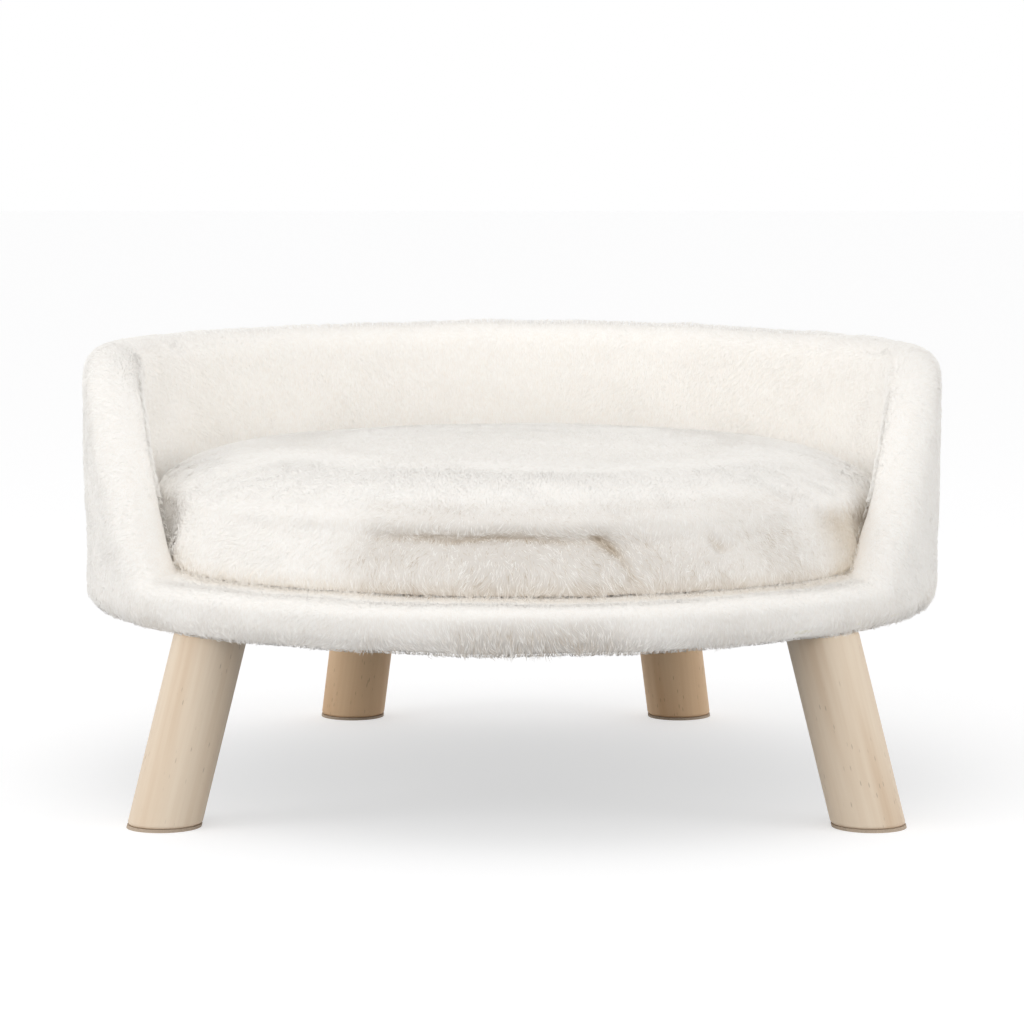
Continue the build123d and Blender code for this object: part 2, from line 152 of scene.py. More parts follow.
class CushionSizes(PropertyGroup):
    """The loose cushion's filling and folds."""

    fill: FloatProperty(
        name="Fill", description="From slack to tight", default=0.7, min=0, max=1, subtype="FACTOR"
    )
    mesh_size: FloatProperty(
        name="Mesh size", description="Grid of the cloth that swells", default=5.0 * MM, unit="LENGTH"
    )
    swell: FloatProperty(
        name="Swell", description="The most that the cloth may move", default=12.0 * MM, unit="LENGTH"
    )
    pucker: FloatProperty(
        name="Pucker",
        description="Share of the cloth's wrinkles that stays",
        default=0.4,
        min=0,
        max=1,
        subtype="FACTOR",
    )
    edge_radius: FloatProperty(
        name="Edge radius",
        description="Rounding of the lower edge on the seat",
        default=5.0 * MM,
        unit="LENGTH",
    )
    seam_depth: FloatProperty(
        name="Seam depth", description="How far the seam is drawn in", default=1.2 * MM, unit="LENGTH"
    )


class WoodLook(PropertyGroup):
    """The turned legs."""

    foot_bevel: FloatProperty(
        name="Foot bevel", description="Softened edge of the leg", default=1.4 * MM, unit="LENGTH"
    )
    pale: FloatVectorProperty(
        name="Pale wood",
        description="Colour between the growth lines",
        default=(0.80, 0.675, 0.53),
        subtype="COLOR",
    )
    warm: FloatVectorProperty(
        name="Warm wood",
        description="Colour of the growth lines",
        default=(0.62, 0.45, 0.30),
        subtype="COLOR",
    )
    # The rear legs' browner colour is partly painted shade under the bed and partly wood that differs from
    # leg to leg
    browned_and_painted_shade: FloatVectorProperty(
        name="Browned",
        description="How much browner the rear legs are",
        default=(1.0, 0.84, 0.67),
        subtype="COLOR",
    )


class StudioSizes(PropertyGroup):
    """Camera, floor and lamps."""

    camera_distance: FloatProperty(
        name="Distance", description="Camera to the bed's middle", default=2.734, unit="LENGTH"
    )
    camera_side: FloatProperty(name="Side", description="Camera across", default=-3.0 * MM, unit="LENGTH")
    camera_height: FloatProperty(
        name="Height", description="Camera above the floor", default=477.6 * MM, unit="LENGTH"
    )
    camera_tilt: FloatProperty(
        name="Tilt", description="Downward angle", default=radians(6.04), subtype="ANGLE"
    )
    lens: FloatProperty(name="Lens", description="Focal length", default=137.25, unit="CAMERA")
    horizon: FloatProperty(name="Horizon", description="Light from the sides", default=1.09)
    zenith: FloatProperty(name="Zenith", description="Light from straight above", default=0.62)
    key: FloatProperty(
        name="Key lamp", description="Power of the overhead lamp", default=3.8, unit="POWER"
    )
    left: FloatProperty(
        name="Left lamp", description="Power of the lamp at the left", default=12.0, unit="POWER"
    )
    right: FloatProperty(
        name="Right lamp", description="Power of the lamp at the right", default=8.5, unit="POWER"
    )
    front: FloatProperty(
        name="Front lamp", description="Power of the lamp at the front", default=3.0, unit="POWER"
    )
    floor_glow: FloatProperty(
        name="Floor white",
        description="Share of white that shadows don't reach",
        default=0.54,
        subtype="FACTOR",
    )


def linked(name, mesh):
    """A new object for a mesh, lamp or camera, in the scene."""
    piece = bpy.data.objects.new(name, mesh)
    bpy.context.scene.collection.objects.link(piece)
    return piece


def applied(piece):
    """The piece's mesh with its modifiers applied, and the piece removed."""
    graph = bpy.context.evaluated_depsgraph_get()
    mesh = bpy.data.meshes.new_from_object(piece.evaluated_get(graph))
    bpy.data.objects.remove(piece)
    return mesh


def joined(nodes):
    """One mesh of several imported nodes."""
    builder = bmesh.new()
    for node in nodes:
        builder.from_mesh(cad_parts[node].data)
    mesh = bpy.data.meshes.new("blank")
    builder.to_mesh(mesh)
    builder.free()
    return mesh


def remeshed(mesh, size):
    """A closed even mesh round the outside of another."""
    blank = linked("blank", mesh)
    modifier = blank.modifiers.new("even", "REMESH")
    modifier.mode = "VOXEL"
    modifier.voxel_size = size
    return applied(blank)


def smoothed(mesh, times):
    """The mesh with its small steps smoothed away."""
    blank = linked("blank", mesh)
    modifier = blank.modifiers.new("soft", "SMOOTH")
    modifier.iterations = times
    modifier.factor = 0.5
    return applied(blank)


def places(mesh):
    """Vertex positions as an array."""
    flat = np.empty(len(mesh.vertices) * 3, np.float32)
    mesh.vertices.foreach_get("co", flat)
    return flat.reshape(-1, 3).astype(float)


def normals(mesh):
    """Vertex normals as an array."""
    flat = np.empty(len(mesh.vertices) * 3, np.float32)
    mesh.vertex_normals.foreach_get("vector", flat)
    return flat.reshape(-1, 3).astype(float)


def move(mesh, points):
    """Puts the mesh's vertices at new places."""
    mesh.vertices.foreach_set("co", points.astype(np.float32).ravel())
    mesh.update()


def corners(mesh):
    """Vertex numbers of each face, a triangle's last one repeated."""
    totals = np.empty(len(mesh.polygons), np.int32)
    starts = np.empty(len(mesh.polygons), np.int32)
    loops = np.empty(len(mesh.loops), np.int32)
    mesh.polygons.foreach_get("loop_total", totals)
    mesh.polygons.foreach_get("loop_start", starts)
    mesh.loops.foreach_get("vertex_index", loops)
    steps = np.minimum(np.arange(4)[None, :], totals[:, None] - 1)
    return loops[starts[:, None] + steps]


def part_of(mesh, keep, name):
    """A new mesh of the faces that are kept."""
    builder = bmesh.new()
    builder.from_mesh(mesh)
    builder.faces.ensure_lookup_table()
    dropped = [builder.faces[index] for index in np.nonzero(~keep)[0]]
    bmesh.ops.delete(builder, geom=dropped, context="FACES")
    part = bpy.data.meshes.new(name)
    builder.to_mesh(part)
    builder.free()
    return part


def unit(vectors):
    """Vectors of length one."""
    return vectors / np.maximum(np.linalg.norm(vectors, axis=1, keepdims=True), 1e-12)


def ramp(values, low, high):
    """Smooth 0 to 1 as values go from low to high."""
    share = np.clip((values - low) / (high - low), 0, 1)
    return share * share * (3 - 2 * share)


def window(values, start, full, fade, end):
    """Smooth 0 to 1 as values go from start to full, and back to 0 from fade to end."""
    return ramp(values, start, full) * (1 - ramp(values, fade, end))


def ridge(far, width):
    """1 at a line and smoothly 0 away from it."""
    return np.exp(-((far / width) ** 2))


DRIFT_WAVES = 14


def drift(points, size, seed):
    """A smooth random field from about -1 to 1, whose lumps have a size."""
    rng = np.random.default_rng(seed)
    total = np.zeros(len(points))
    for _ in range(DRIFT_WAVES):
        way = rng.normal(size=3)
        way *= rng.uniform(0.7, 1.5) * pi / (size * np.linalg.norm(way))
        total += np.sin(points @ way + rng.uniform(0, 2 * pi))
    return total / np.sqrt(DRIFT_WAVES)


def turned(vectors, angles):
    """Vectors turned round the Z axis, each by its own angle."""
    cosine, sine = np.cos(angles), np.sin(angles)
    across = vectors[:, 0] * cosine - vectors[:, 1] * sine
    along = vectors[:, 0] * sine + vectors[:, 1] * cosine
    return np.stack([across, along, vectors[:, 2]], 1)


def azimuths(points):
    """Angle from the front, towards +X, of each point."""
    return np.arctan2(points[:, 0], -points[:, 1])


def radii(points):
    """Distance of each point from the Z axis."""
    return np.hypot(points[:, 0], points[:, 1])


def level_ways(spin):
    """Level directions away from the Z axis and round it, at angles from the front."""
    flat = np.zeros(len(spin))
    outwards = np.stack([np.sin(spin), -np.cos(spin), flat], 1)
    sideways = np.stack([np.cos(spin), np.sin(spin), flat], 1)
    return outwards, sideways


def fabric_mesh(name, points, triangles, uv):
    """A smooth mesh from arrays, with its texture places."""
    mesh = bpy.data.meshes.new(name)
    mesh.vertices.add(len(points))
    mesh.loops.add(triangles.size)
    mesh.polygons.add(len(triangles))
    mesh.vertices.foreach_set("co", points.astype(np.float32).ravel())
    mesh.loops.foreach_set("vertex_index", triangles.astype(np.int32).ravel())
    mesh.polygons.foreach_set("loop_start", np.arange(0, triangles.size, 3, dtype=np.int32))
    mesh.update(calc_edges=True)
    mesh.shade_smooth()
    layer = mesh.uv_layers.new(name="OFBake")
    layer.data.foreach_set("uv", uv[triangles.ravel()].astype(np.float32).ravel())
    return mesh


# Each lock is a bent spindle: its root, a ring half way and its tip
LOCK_FACES = np.array([(0, 1, 2), (0, 2, 3), (0, 3, 1), (1, 4, 2), (2, 4, 3), (3, 4, 1)])
LOCK_POINTS = 5
LOCKS_A_PIECE = 33000
LOCK_UV = np.array([(0.5, 0.03), (0.12, 0.45), (0.5, 0.45), (0.88, 0.45), (0.5, 0.97)])

# The texture's cells give each lock a tone across and, upwards, how much painted shade it takes in folds
# and corners
TONE_CELLS = 32

# Lowest and highest share of its measure that a lock takes
LENGTH_SHARES = (0.8, 1.15)
FIRST_LEANS = (0.35, 0.75)
LAST_LEANS = (1.1, 1.6)
WIDTH_SHARES = (0.65, 1.25)
PULL_SHARES = (0.6, 1.25)
PAINTED_SHADE_SHARES = (0.7, 1.3)

# How far hair strays from the way that it is combed, and how flat a lock is
STRAY = 0.3
FLATNESS = 0.7

# How the pile leans away from the cloth, and how much that varies
PILE_LEAN = radians(70)
LEAN_DRIFT = radians(4)

# Factors that give each cube of space its own number
CUBE_KEYS = np.array((73856093, 19349663, 83492791))


def note_pile(mesh, comb_of):
    """Keeps on the backing where its pile is tousled, with painted shade, and where painted shade lies in
    folds, corners and round the cushion's edge.
    """
    combed = comb_of(places(mesh), normals(mesh))
    for name, values in zip(("ruffled", "deep"), combed[3:]):
        layer = mesh.attributes.new(name, "FLOAT", "POINT")
        layer.data.foreach_set("value", values.astype(np.float32))


def scattered(mesh, keep, plush, seed):
    """Root places and normals spread evenly over the kept faces of a mesh."""
    rng = np.random.default_rng(seed)
    points, ways, faces = places(mesh), normals(mesh), corners(mesh)[keep]
    quads = points[faces]
    first = np.cross(quads[:, 1] - quads[:, 0], quads[:, 2] - quads[:, 0])
    second = np.cross(quads[:, 2] - quads[:, 0], quads[:, 3] - quads[:, 0])
    areas = (np.linalg.norm(first, axis=1) + np.linalg.norm(second, axis=1)) / 2
    spacing = plush.spacing_of(plush.sizes, quads.mean(1), unit(ways[faces].mean(1)))
    wanted = np.where(spacing > 0, areas / np.maximum(spacing, 1e-6) ** 2, 0)
    counts = (wanted + rng.random(len(wanted))).astype(int)
    index = np.repeat(np.arange(len(faces)), counts)
    across, along = rng.random(len(index))[:, None], rng.random(len(index))[:, None]
    shares = ((1 - across) * (1 - along), across * (1 - along), across * along, (1 - across) * along)
    roots = sum(share * points[faces[index, corner]] for corner, share in enumerate(shares))
    out = sum(share * ways[faces[index, corner]] for corner, share in enumerate(shares))
    return roots, unit(out)


def gathered(roots, tips, size, pull):
    """Tips drawn together into tufts."""
    rng = np.random.default_rng(len(roots))
    order = rng.permutation(len(roots))
    cells = np.floor(roots[order] / size).astype(np.int64)
    across, along, upwards = (cells * CUBE_KEYS).T
    _, picked = np.unique(across ^ along ^ upwards, return_index=True)
    centres = order[picked]
    tree = KDTree(len(centres))
    for number, centre in enumerate(centres):
        tree.insert(roots[centre], number)
    tree.balance()
    own = np.array([centres[tree.find(root)[1]] for root in roots])
    share = pull * rng.uniform(*PULL_SHARES, len(roots))[:, None]
    return tips + (tips[own] - tips) * np.clip(share, 0, 0.95)


def bent_locks(roots, out, comb, length, lean, sizes, rng):
    """Points of the locks, and the normals that shade them."""
    comb = comb - out * np.sum(comb * out, axis=1, keepdims=True)
    comb += STRAY * rng.normal(size=comb.shape) * np.linalg.norm(comb, axis=1, keepdims=True)
    comb = unit(comb - out * np.sum(comb * out, axis=1, keepdims=True))
    half = (sizes.pile_length / 2 * length * rng.uniform(*LENGTH_SHARES, len(roots)))[:, None]
    first = (lean * rng.uniform(*FIRST_LEANS, len(roots)))[:, None]
    last = np.clip(lean * rng.uniform(*LAST_LEANS, len(roots)), 0, radians(95))[:, None]
    middle = roots + half * (out * np.cos(first) + comb * np.sin(first))
    tips = middle + half * (out * np.cos(last) + comb * np.sin(last))
    tips = gathered(roots, tips, sizes.tuft_size, sizes.tuft_pull)
    middle = gathered(roots, middle, sizes.tuft_size, sizes.tuft_pull / 4)
    side = unit(np.cross(tips - roots, out))
    lift = unit(np.cross(side, tips - roots))
    width = sizes.lock_width / 2 * rng.uniform(*WIDTH_SHARES, len(roots))[:, None]
    locks = np.empty((len(roots), LOCK_POINTS, 3))
    facing = np.empty((len(roots), LOCK_POINTS, 3))
    own_shade = 1 - sizes.softness
    locks[:, 0] = roots - out * sizes.lock_width
    locks[:, -1] = tips
    facing[:, 0] = out
    facing[:, -1] = unit(sizes.softness * out + own_shade * lift)
    for corner in range(3):
        angle = 2 * pi * corner / 3 + pi / 2
        spread = side * cos(angle) + lift * FLATNESS * sin(angle)
        locks[:, 1 + corner] = middle + width * spread
        facing[:, 1 + corner] = unit(sizes.softness * out + own_shade * spread)
    return locks, facing


def lock_cells(roots, ruffled, deep, rng, seed):
    """Texture places of the locks: uneven tones, darker as painted shade where the pile is tousled, and
    painted shade in folds and corners.
    """
    tone = 1 - (0.15 + 0.85 * ruffled) * rng.random(len(roots)) ** 0.9
    tone += 0.25 * ruffled * drift(roots, 5 * MM, seed)
    column = np.clip(tone * TONE_CELLS, 0, TONE_CELLS - 1).astype(int)
    # Rows upwards hold how much painted shade a lock takes
    depth = deep * rng.uniform(*PAINTED_SHADE_SHARES, len(roots))
    row = np.clip(depth * TONE_CELLS, 0, TONE_CELLS - 1).astype(int)
    cell = np.stack([column, row], 1)
    return (cell[:, None, :] + LOCK_UV[None, :, :]) / TONE_CELLS


class Plush:
    """The plush of one body: its look, its filling and how its pile stands."""

    def __init__(self, body, label, slot, sizes, fill, spacing_of, comb_of):
        self.body = body
        self.slot = slot
        self.sizes = sizes
        self.fill = fill
        self.spacing_of = spacing_of
        self.comb_of = comb_of
        self.skin = backing_material(label + " backing", sizes)
        self.pile = pile_material(label + " pile", sizes)

    def cover(self, node, mesh, keep, seed):
        """Puts a padded skin of the kept faces in a node's place, with pile on it."""
        part = part_of(mesh, keep, node + "_plush")
        note_pile(part, self.comb_of)
        piece = shell(part, node + "_plush", BACKING_THICKNESS)
        stand_in(piece, node, self.body, self.skin)
        self.grow(node + "_pile", mesh, keep, seed)

    def grow(self, name, mesh, keep, seed):
        """Pile on the kept faces of a mesh, as one or more pieces of bent locks."""
        roots, out = scattered(mesh, keep, self, seed)
        rng = np.random.default_rng(seed + 1)
        comb, length, lean, ruffled, deep = self.comb_of(roots, out)
        locks, facing = bent_locks(roots, out, comb, length, lean, self.sizes, rng)
        uv = lock_cells(roots, ruffled, deep, rng, seed)
        order = np.argsort(azimuths(roots), kind="stable")
        groups = np.array_split(order, int(np.ceil(len(order) / LOCKS_A_PIECE)))
        for number, group in enumerate(groups, 1):
            offsets = np.arange(len(group)) * LOCK_POINTS
            triangles = (LOCK_FACES[None, :, :] + offsets[:, None, None]).reshape(-1, 3)
            full = name if len(groups) == 1 else f"{name}_{number}"
            grown = fabric_mesh(full, locks[group].reshape(-1, 3), triangles, uv[group].reshape(-1, 2))
            grown.normals_split_custom_set_from_vertices(facing[group].reshape(-1, 3))
            piece = linked(full, grown)
            grown.materials.append(self.pile)
            # Fine white hair passes light on, so it shades neither its neighbours nor the cloth
            piece.visible_shadow = False
            piece.visible_diffuse = False
            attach(piece, self.body)


def set_socket(tree, socket, value):
    """Links a socket to another one, or gives it a value."""
    if isinstance(value, bpy.types.NodeSocket):
        tree.links.new(value, socket)
    else:
        opaque = socket.type == "RGBA" and len(value) == 3
        socket.default_value = (*value, 1) if opaque else value


def add_node(tree, kind, settings=(), **inputs):
    """A node with its settings and inputs, an input being named or numbered as in _0."""
    made = tree.nodes.new(kind)
    for name, value in dict(settings).items():
        setattr(made, name, value)
    for name, value in inputs.items():
        place = int(name[1:]) if name[1:].isdigit() else name.replace("_", " ")
        set_socket(tree, made.inputs[place], value)
    return made


class Shader:
    """A material's nodes, made one after another."""

    def __init__(self, name, home=None):
        self.material = bpy.data.materials.new(name)
        self.material.use_nodes = True
        self.tree = self.material.node_tree
        self.main = self.tree.nodes["Principled BSDF"]
        self.base = self.node("ShaderNodeTexCoord").outputs["Object"]
        if home is not None:
            self.base = self.node(
                "ShaderNodeMapping",
                {"vector_type": "TEXTURE"},
                Vector=self.base,
                Location=home.to_translation(),
                Rotation=home.to_euler(),
            ).outputs["Vector"]

    def node(self, kind, settings=(), **inputs):
        """A node of this material."""
        return add_node(self.tree, kind, settings, **inputs)

    def ramp(self, value, *stops):
        """A colour ramp of (place, colour) stops."""
        made = self.node("ShaderNodeValToRGB", Fac=value)
        while len(made.color_ramp.elements) < len(stops):
            made.color_ramp.elements.new(0.5)
        for element, (place, colour) in zip(made.color_ramp.elements, stops):
            element.position = place
            element.color = (*colour, 1) if hasattr(colour, "__len__") else (colour, colour, colour, 1)
        return made.outputs["Color"]

    def math(self, operation, first, second=0.0):
        """One sum on two numbers or sockets."""
        return self.node("ShaderNodeMath", {"operation": operation}, _0=first, _1=second).outputs[0]

    def mix(self, share, first, second, way="MIX"):
        """A colour between two colours."""
        settings = {"data_type": "RGBA", "blend_type": way}
        return self.node("ShaderNodeMix", settings, _0=share, _6=first, _7=second).outputs[2]

    def noise(self, scale, detail=3.0, vector=None, **more):
        """Cloudy noise in the piece's own metres."""
        return self.node(
            "ShaderNodeTexNoise", Scale=scale, Detail=detail, Vector=vector or self.own(), **more
        ).outputs["Fac"]

    def own(self, scale=(1, 1, 1), turn=(0, 0, 0)):
        """The piece's own coordinates, stretched or turned."""
        made = self.node("ShaderNodeMapping", Vector=self.base, Scale=scale, Rotation=turn)
        return made.outputs["Vector"]

    def bump(self, height, strength, distance):
        """Relief on the main shader."""
        made = self.node("ShaderNodeBump", Height=height, Strength=strength, Distance=distance)
        self.tree.links.new(made.outputs["Normal"], self.main.inputs["Normal"])

    def paint(self, **values):
        """Sets or links the main shader's sockets."""
        for name, value in values.items():
            set_socket(self.tree, self.main.inputs[name.replace("_", " ")], value)
        return self.material


def pile_material(name, sizes):
    """Soft strands, uneven in tone, with painted shade: darker and warmer at the root, darker where
    tousled and tinted in folds and corners.
    """
    shader = Shader(name)
    uv = shader.node("ShaderNodeUVMap", {"uv_map": "OFBake"}).outputs["UV"]
    cell = shader.node("ShaderNodeVectorMath", {"operation": "SCALE"}, Vector=uv, Scale=TONE_CELLS)
    parts = shader.node("ShaderNodeSeparateXYZ", Vector=cell.outputs[0])
    along = shader.math("FRACT", parts.outputs["Y"])
    tone = shader.math("DIVIDE", shader.math("FLOOR", parts.outputs["X"]), TONE_CELLS - 1)
    deep = shader.math("DIVIDE", shader.math("FLOOR", parts.outputs["Y"]), TONE_CELLS - 1)
    root, tip = sizes.root_painted_shade_colour, sizes.tip_colour
    # Darker, warmer roots: painted shade low in the pile
    strand = shader.ramp(along, (0.0, root), (0.5, tip), (1.0, tip))
    shade = shader.ramp(tone, (0.0, (0.62, 0.55, 0.48)), (0.6, (0.90, 0.87, 0.84)), (1.0, (1, 1, 1)))
    colour = shader.mix(1.0, strand, shade, "MULTIPLY")
    # Painted shade in folds, corners and round the cushion's edge
    colour = shader.mix(deep, colour, sizes.painted_shade_colour, "MULTIPLY")
    return shader.paint(Base_Color=colour, Roughness=0.9, Specular_IOR_Level=0.0)


def backing_material(name, sizes):
    """The short underfur between the strands, with painted shade where the pile is tousled and in folds
    and corners.
    """
    shader = Shader(name)
    hairs = shader.noise(1.0, 3.0, shader.own((1500.0, 1500.0, 260.0)))
    clumps = shader.noise(150.0, 3.0)
    height = shader.math("ADD", clumps, shader.math("MULTIPLY", hairs, 0.5))
    root, tip = sizes.root_painted_shade_colour, sizes.tip_colour
    colour = shader.ramp(hairs, (0.30, root), (0.60, tip))
    colour = shader.mix(0.25, colour, shader.ramp(clumps, (0.35, root), (0.60, tip)))
    # Painted shade: the underfur goes darker where the pile is tousled
    ruffled = shader.node("ShaderNodeAttribute", {"attribute_name": "ruffled"}).outputs["Fac"]
    colour = shader.mix(ruffled, colour, tuple(0.80 * part for part in root))
    # Painted shade in folds, corners and round the cushion's edge
    deep = shader.node("ShaderNodeAttribute", {"attribute_name": "deep"}).outputs["Fac"]
    colour = shader.mix(deep, colour, sizes.painted_shade_colour, "MULTIPLY")
    shader.bump(height, 0.3, 0.25 * MM)
    return shader.paint(Base_Color=colour, Roughness=0.95, Specular_IOR_Level=0.0)


def wood_material(name, look, home, browned_and_painted_shade):
    """Pale turned wood: long grain, a few darker growth lines and short pores."""
    shader = Shader(name, home)
    # The colours go browner on the rear legs: painted shade under the bed, and wood that differs from leg
    # to leg
    pale = tuple(part * share for part, share in zip(look.pale, browned_and_painted_shade))
    warm = tuple(part * share for part, share in zip(look.warm, browned_and_painted_shade))
    stretched = shader.own((55.0, 55.0, 3.2))
    grain = shader.noise(1.0, 5.0, stretched, Distortion=0.6)
    bands = shader.noise(1.0, 2.0, shader.own((16.0, 16.0, 0.9)), Distortion=1.2)
    fine = shader.noise(1.0, 3.0, shader.own((420.0, 420.0, 14.0)))
    palest = tuple(1.06 * part for part in pale)
    colour = shader.ramp(bands, (0.36, warm), (0.47, pale), (0.75, palest))
    colour = shader.mix(0.30, colour, shader.ramp(grain, (0.3, warm), (0.6, pale)))
    pores = shader.node(
        "ShaderNodeTexVoronoi", {"feature": "F1"}, Vector=shader.own((430.0, 430.0, 85.0)), Scale=1.0
    ).outputs["Distance"]
    rows = shader.noise(1.0, 2.0, shader.own((70.0, 70.0, 22.0)))
    spots = shader.ramp(pores, (0.10, 1.0), (0.20, 0.0))
    pore = shader.math("MULTIPLY", spots, shader.ramp(rows, (0.50, 0.0), (0.58, 1.0)))
    dark = tuple(0.50 * part for part in warm)
    colour = shader.mix(shader.math("MULTIPLY", pore, 0.5), colour, dark)
    colour = shader.mix(0.12, colour, shader.ramp(fine, (0.35, warm), (0.65, pale)))
    relief = shader.math("SUBTRACT", shader.math("MULTIPLY", fine, 0.25), pore)
    shader.bump(relief, 0.35, 0.25 * MM)
    rough = shader.ramp(grain, (0.3, 0.50), (0.7, 0.62))
    return shader.paint(Base_Color=colour, Roughness=rough, Specular_IOR_Level=0.35)


def cloth_material(name, dark, light, weave, rough=0.9):
    """A flat cloth or felt with a fine mottled surface."""
    shader = Shader(name)
    fibres = shader.noise(weave, 4.0, shader.own((1, 1, 1)))
    threads = shader.noise(weave * 3.0, 2.0, shader.own((1.0, 0.35, 1.0)))
    mottle = shader.math("MULTIPLY", shader.math("ADD", fibres, threads), 0.5)
    colour = shader.ramp(mottle, (0.35, dark), (0.65, light))
    shader.bump(threads, 0.5, 0.2 * MM)
    return shader.paint(Base_Color=colour, Roughness=rough, Specular_IOR_Level=0.2)


def metal_material(name, dark, light, metallic, rough):
    """Plated or enamelled metal with faint wear."""
    shader = Shader(name)
    wear = shader.noise(900.0, 4.0)
    colour = shader.ramp(wear, (0.3, dark), (0.7, light))
    roughness = shader.ramp(wear, (0.3, rough + 0.12), (0.7, rough - 0.05))
    shader.bump(wear, 0.1, 0.05 * MM)
    return shader.paint(Base_Color=colour, Roughness=roughness, Metallic=metallic)


def plywood_material(name):
    """Raw plywood: long grain on the faces and layers at the edge."""
    shader = Shader(name)
    grain = shader.noise(1.0, 5.0, shader.own((9.0, 160.0, 160.0)), Distortion=0.5)
    layers = shader.node(
        "ShaderNodeTexWave", {"bands_direction": "Z"}, Vector=shader.own(), Scale=180.0, Distortion=0.4
    ).outputs["Fac"]
    colour = shader.ramp(grain, (0.3, (0.55, 0.38, 0.22)), (0.7, (0.76, 0.60, 0.41)))
    edge = shader.ramp(layers, (0.4, (0.45, 0.30, 0.17)), (0.6, (0.74, 0.58, 0.39)))
    colour = shader.mix(0.25, colour, edge)
    shader.bump(grain, 0.3, 0.2 * MM)
    return shader.paint(Base_Color=colour, Roughness=0.75)


def foam_material(name, dark, light):
    """Open foam or loose fibre with small cells."""
    shader = Shader(name)
    cells = shader.node("ShaderNodeTexVoronoi", Vector=shader.own(), Scale=700.0).outputs["Distance"]
    colour = shader.ramp(cells, (0.1, dark), (0.6, light))
    shader.bump(cells, 0.6, 0.4 * MM)
    return shader.paint(Base_Color=colour, Roughness=0.95)


def finish(node, material):
    """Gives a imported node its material."""
    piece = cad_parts[node]
    piece.data.materials.clear()
    piece.data.materials.append(material)


def stand_in(piece, node, body, material):
    """Gives a new piece its material and a node's place on a body."""
    piece.data.materials.clear()
    piece.data.materials.append(material)
    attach(piece, body)
    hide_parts(node)


def shell(mesh, name, thickness):
    """A skin with a thickness inwards, as a new object."""
    blank = linked("blank", mesh)
    modifier = blank.modifiers.new("cloth", "SOLIDIFY")
    modifier.thickness = thickness
    modifier.offset = -1
    solid = applied(blank)
    solid.name = name
    solid.shade_smooth()
    solid.set_sharp_from_angle(angle=radians(50))
    return linked(name, solid)


BACKING_THICKNESS = 1.0 * MM
UPHOLSTERY_GRID = 4.0 * MM
SMOOTHING = 4

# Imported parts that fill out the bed's cover and the cushion's, the covers themselves first
COVERS = ("base_cover", "back_cover_outer", "back_cover_inner")
STUFFING = ("base_foam", "back_foam_inner", "back_foam_outer", "base_board", "back_panel")
CUSHION_NODES = ("cushion_top_panel", "cushion_bottom_panel", "cushion_inner_bag", "cushion_filling")

# How the soft cover sits on its frame: both arms a little round, the whole a little to the left,
# the left arm a little thicker, and a rim that rises at the back and falls to the right
ARM_TURNS = angles(-0.3, -0.4)
COVER_SHIFT = -2.5 * MM
LEFT_ARM_OUT = 1.0 * MM
LEFT_ARM_IN = 2.6 * MM
RIM_RISE = 1.8 * MM
RIM_FALL = 1.5 * MM

# The free front: how far the cushion reaches past the wall's circle, in millimetres, and how far
# the seat and the cushion's seam sink
FRONT_REACH = 12.0
SEAT_SAG = 2.5 * MM
SEAM_SAG = 3.3 * MM

# Places between which something grows, or grows and fades: azimuths from the front, radii, heights
OPEN_FRONT = angles(52, 64)
FREE_FRONT = angles(61, 68)
ARM_START = angles(38, 54)
ARM_END = angles(85, 130)
LEFT_ARM = angles(38, 60, 100, 140)
RUFFLED_FRONT = angles(-24, -14, 20, 32)
SEAT_EDGE = lengths(236, 262)
WALL_OUTSIDE = lengths(262, 292)
WALL_INSIDE = lengths(225, 250)
WALL_HEIGHTS = lengths(150, 235)
RIM_HEIGHTS = lengths(240, 295)
RIM_RIGHT = lengths(90, 270)
RIM_BACK = 90 * MM
BAND_TOP = 156 * MM
ON_SEAT = SEAT_TOP + 4 * MM
BARE_UNDERSIDE = 262 * MM


def front_reach(spin):
    """How far the cushion reaches past the wall's circle at an angle from the front."""
    spin = np.abs(spin)
    return (FRONT_REACH - ramp(spin, 0, radians(50))) * MM * (1 - ramp(spin, *FREE_FRONT))


def open_front(spin):
    """1 at angles between the arms and 0 at the arms."""
    return 1 - ramp(np.abs(spin), *OPEN_FRONT)


def front_sag(points):
    """How far the seat's soft front sinks under the cushion's edge."""
    return SEAT_SAG * open_front(azimuths(points)) * ramp(radii(points), *SEAT_EDGE)


def nearest_covers(points):
    """How far each point lies from each of the three covers."""
    far = np.empty((len(points), len(COVERS)))
    for column, node in enumerate(COVERS):
        builder = bmesh.new()
        builder.from_mesh(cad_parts[node].data)
        tree = BVHTree.FromBMesh(builder)
        builder.free()
        far[:, column] = [tree.find_nearest(Vector(point))[3] for point in points]
    return far


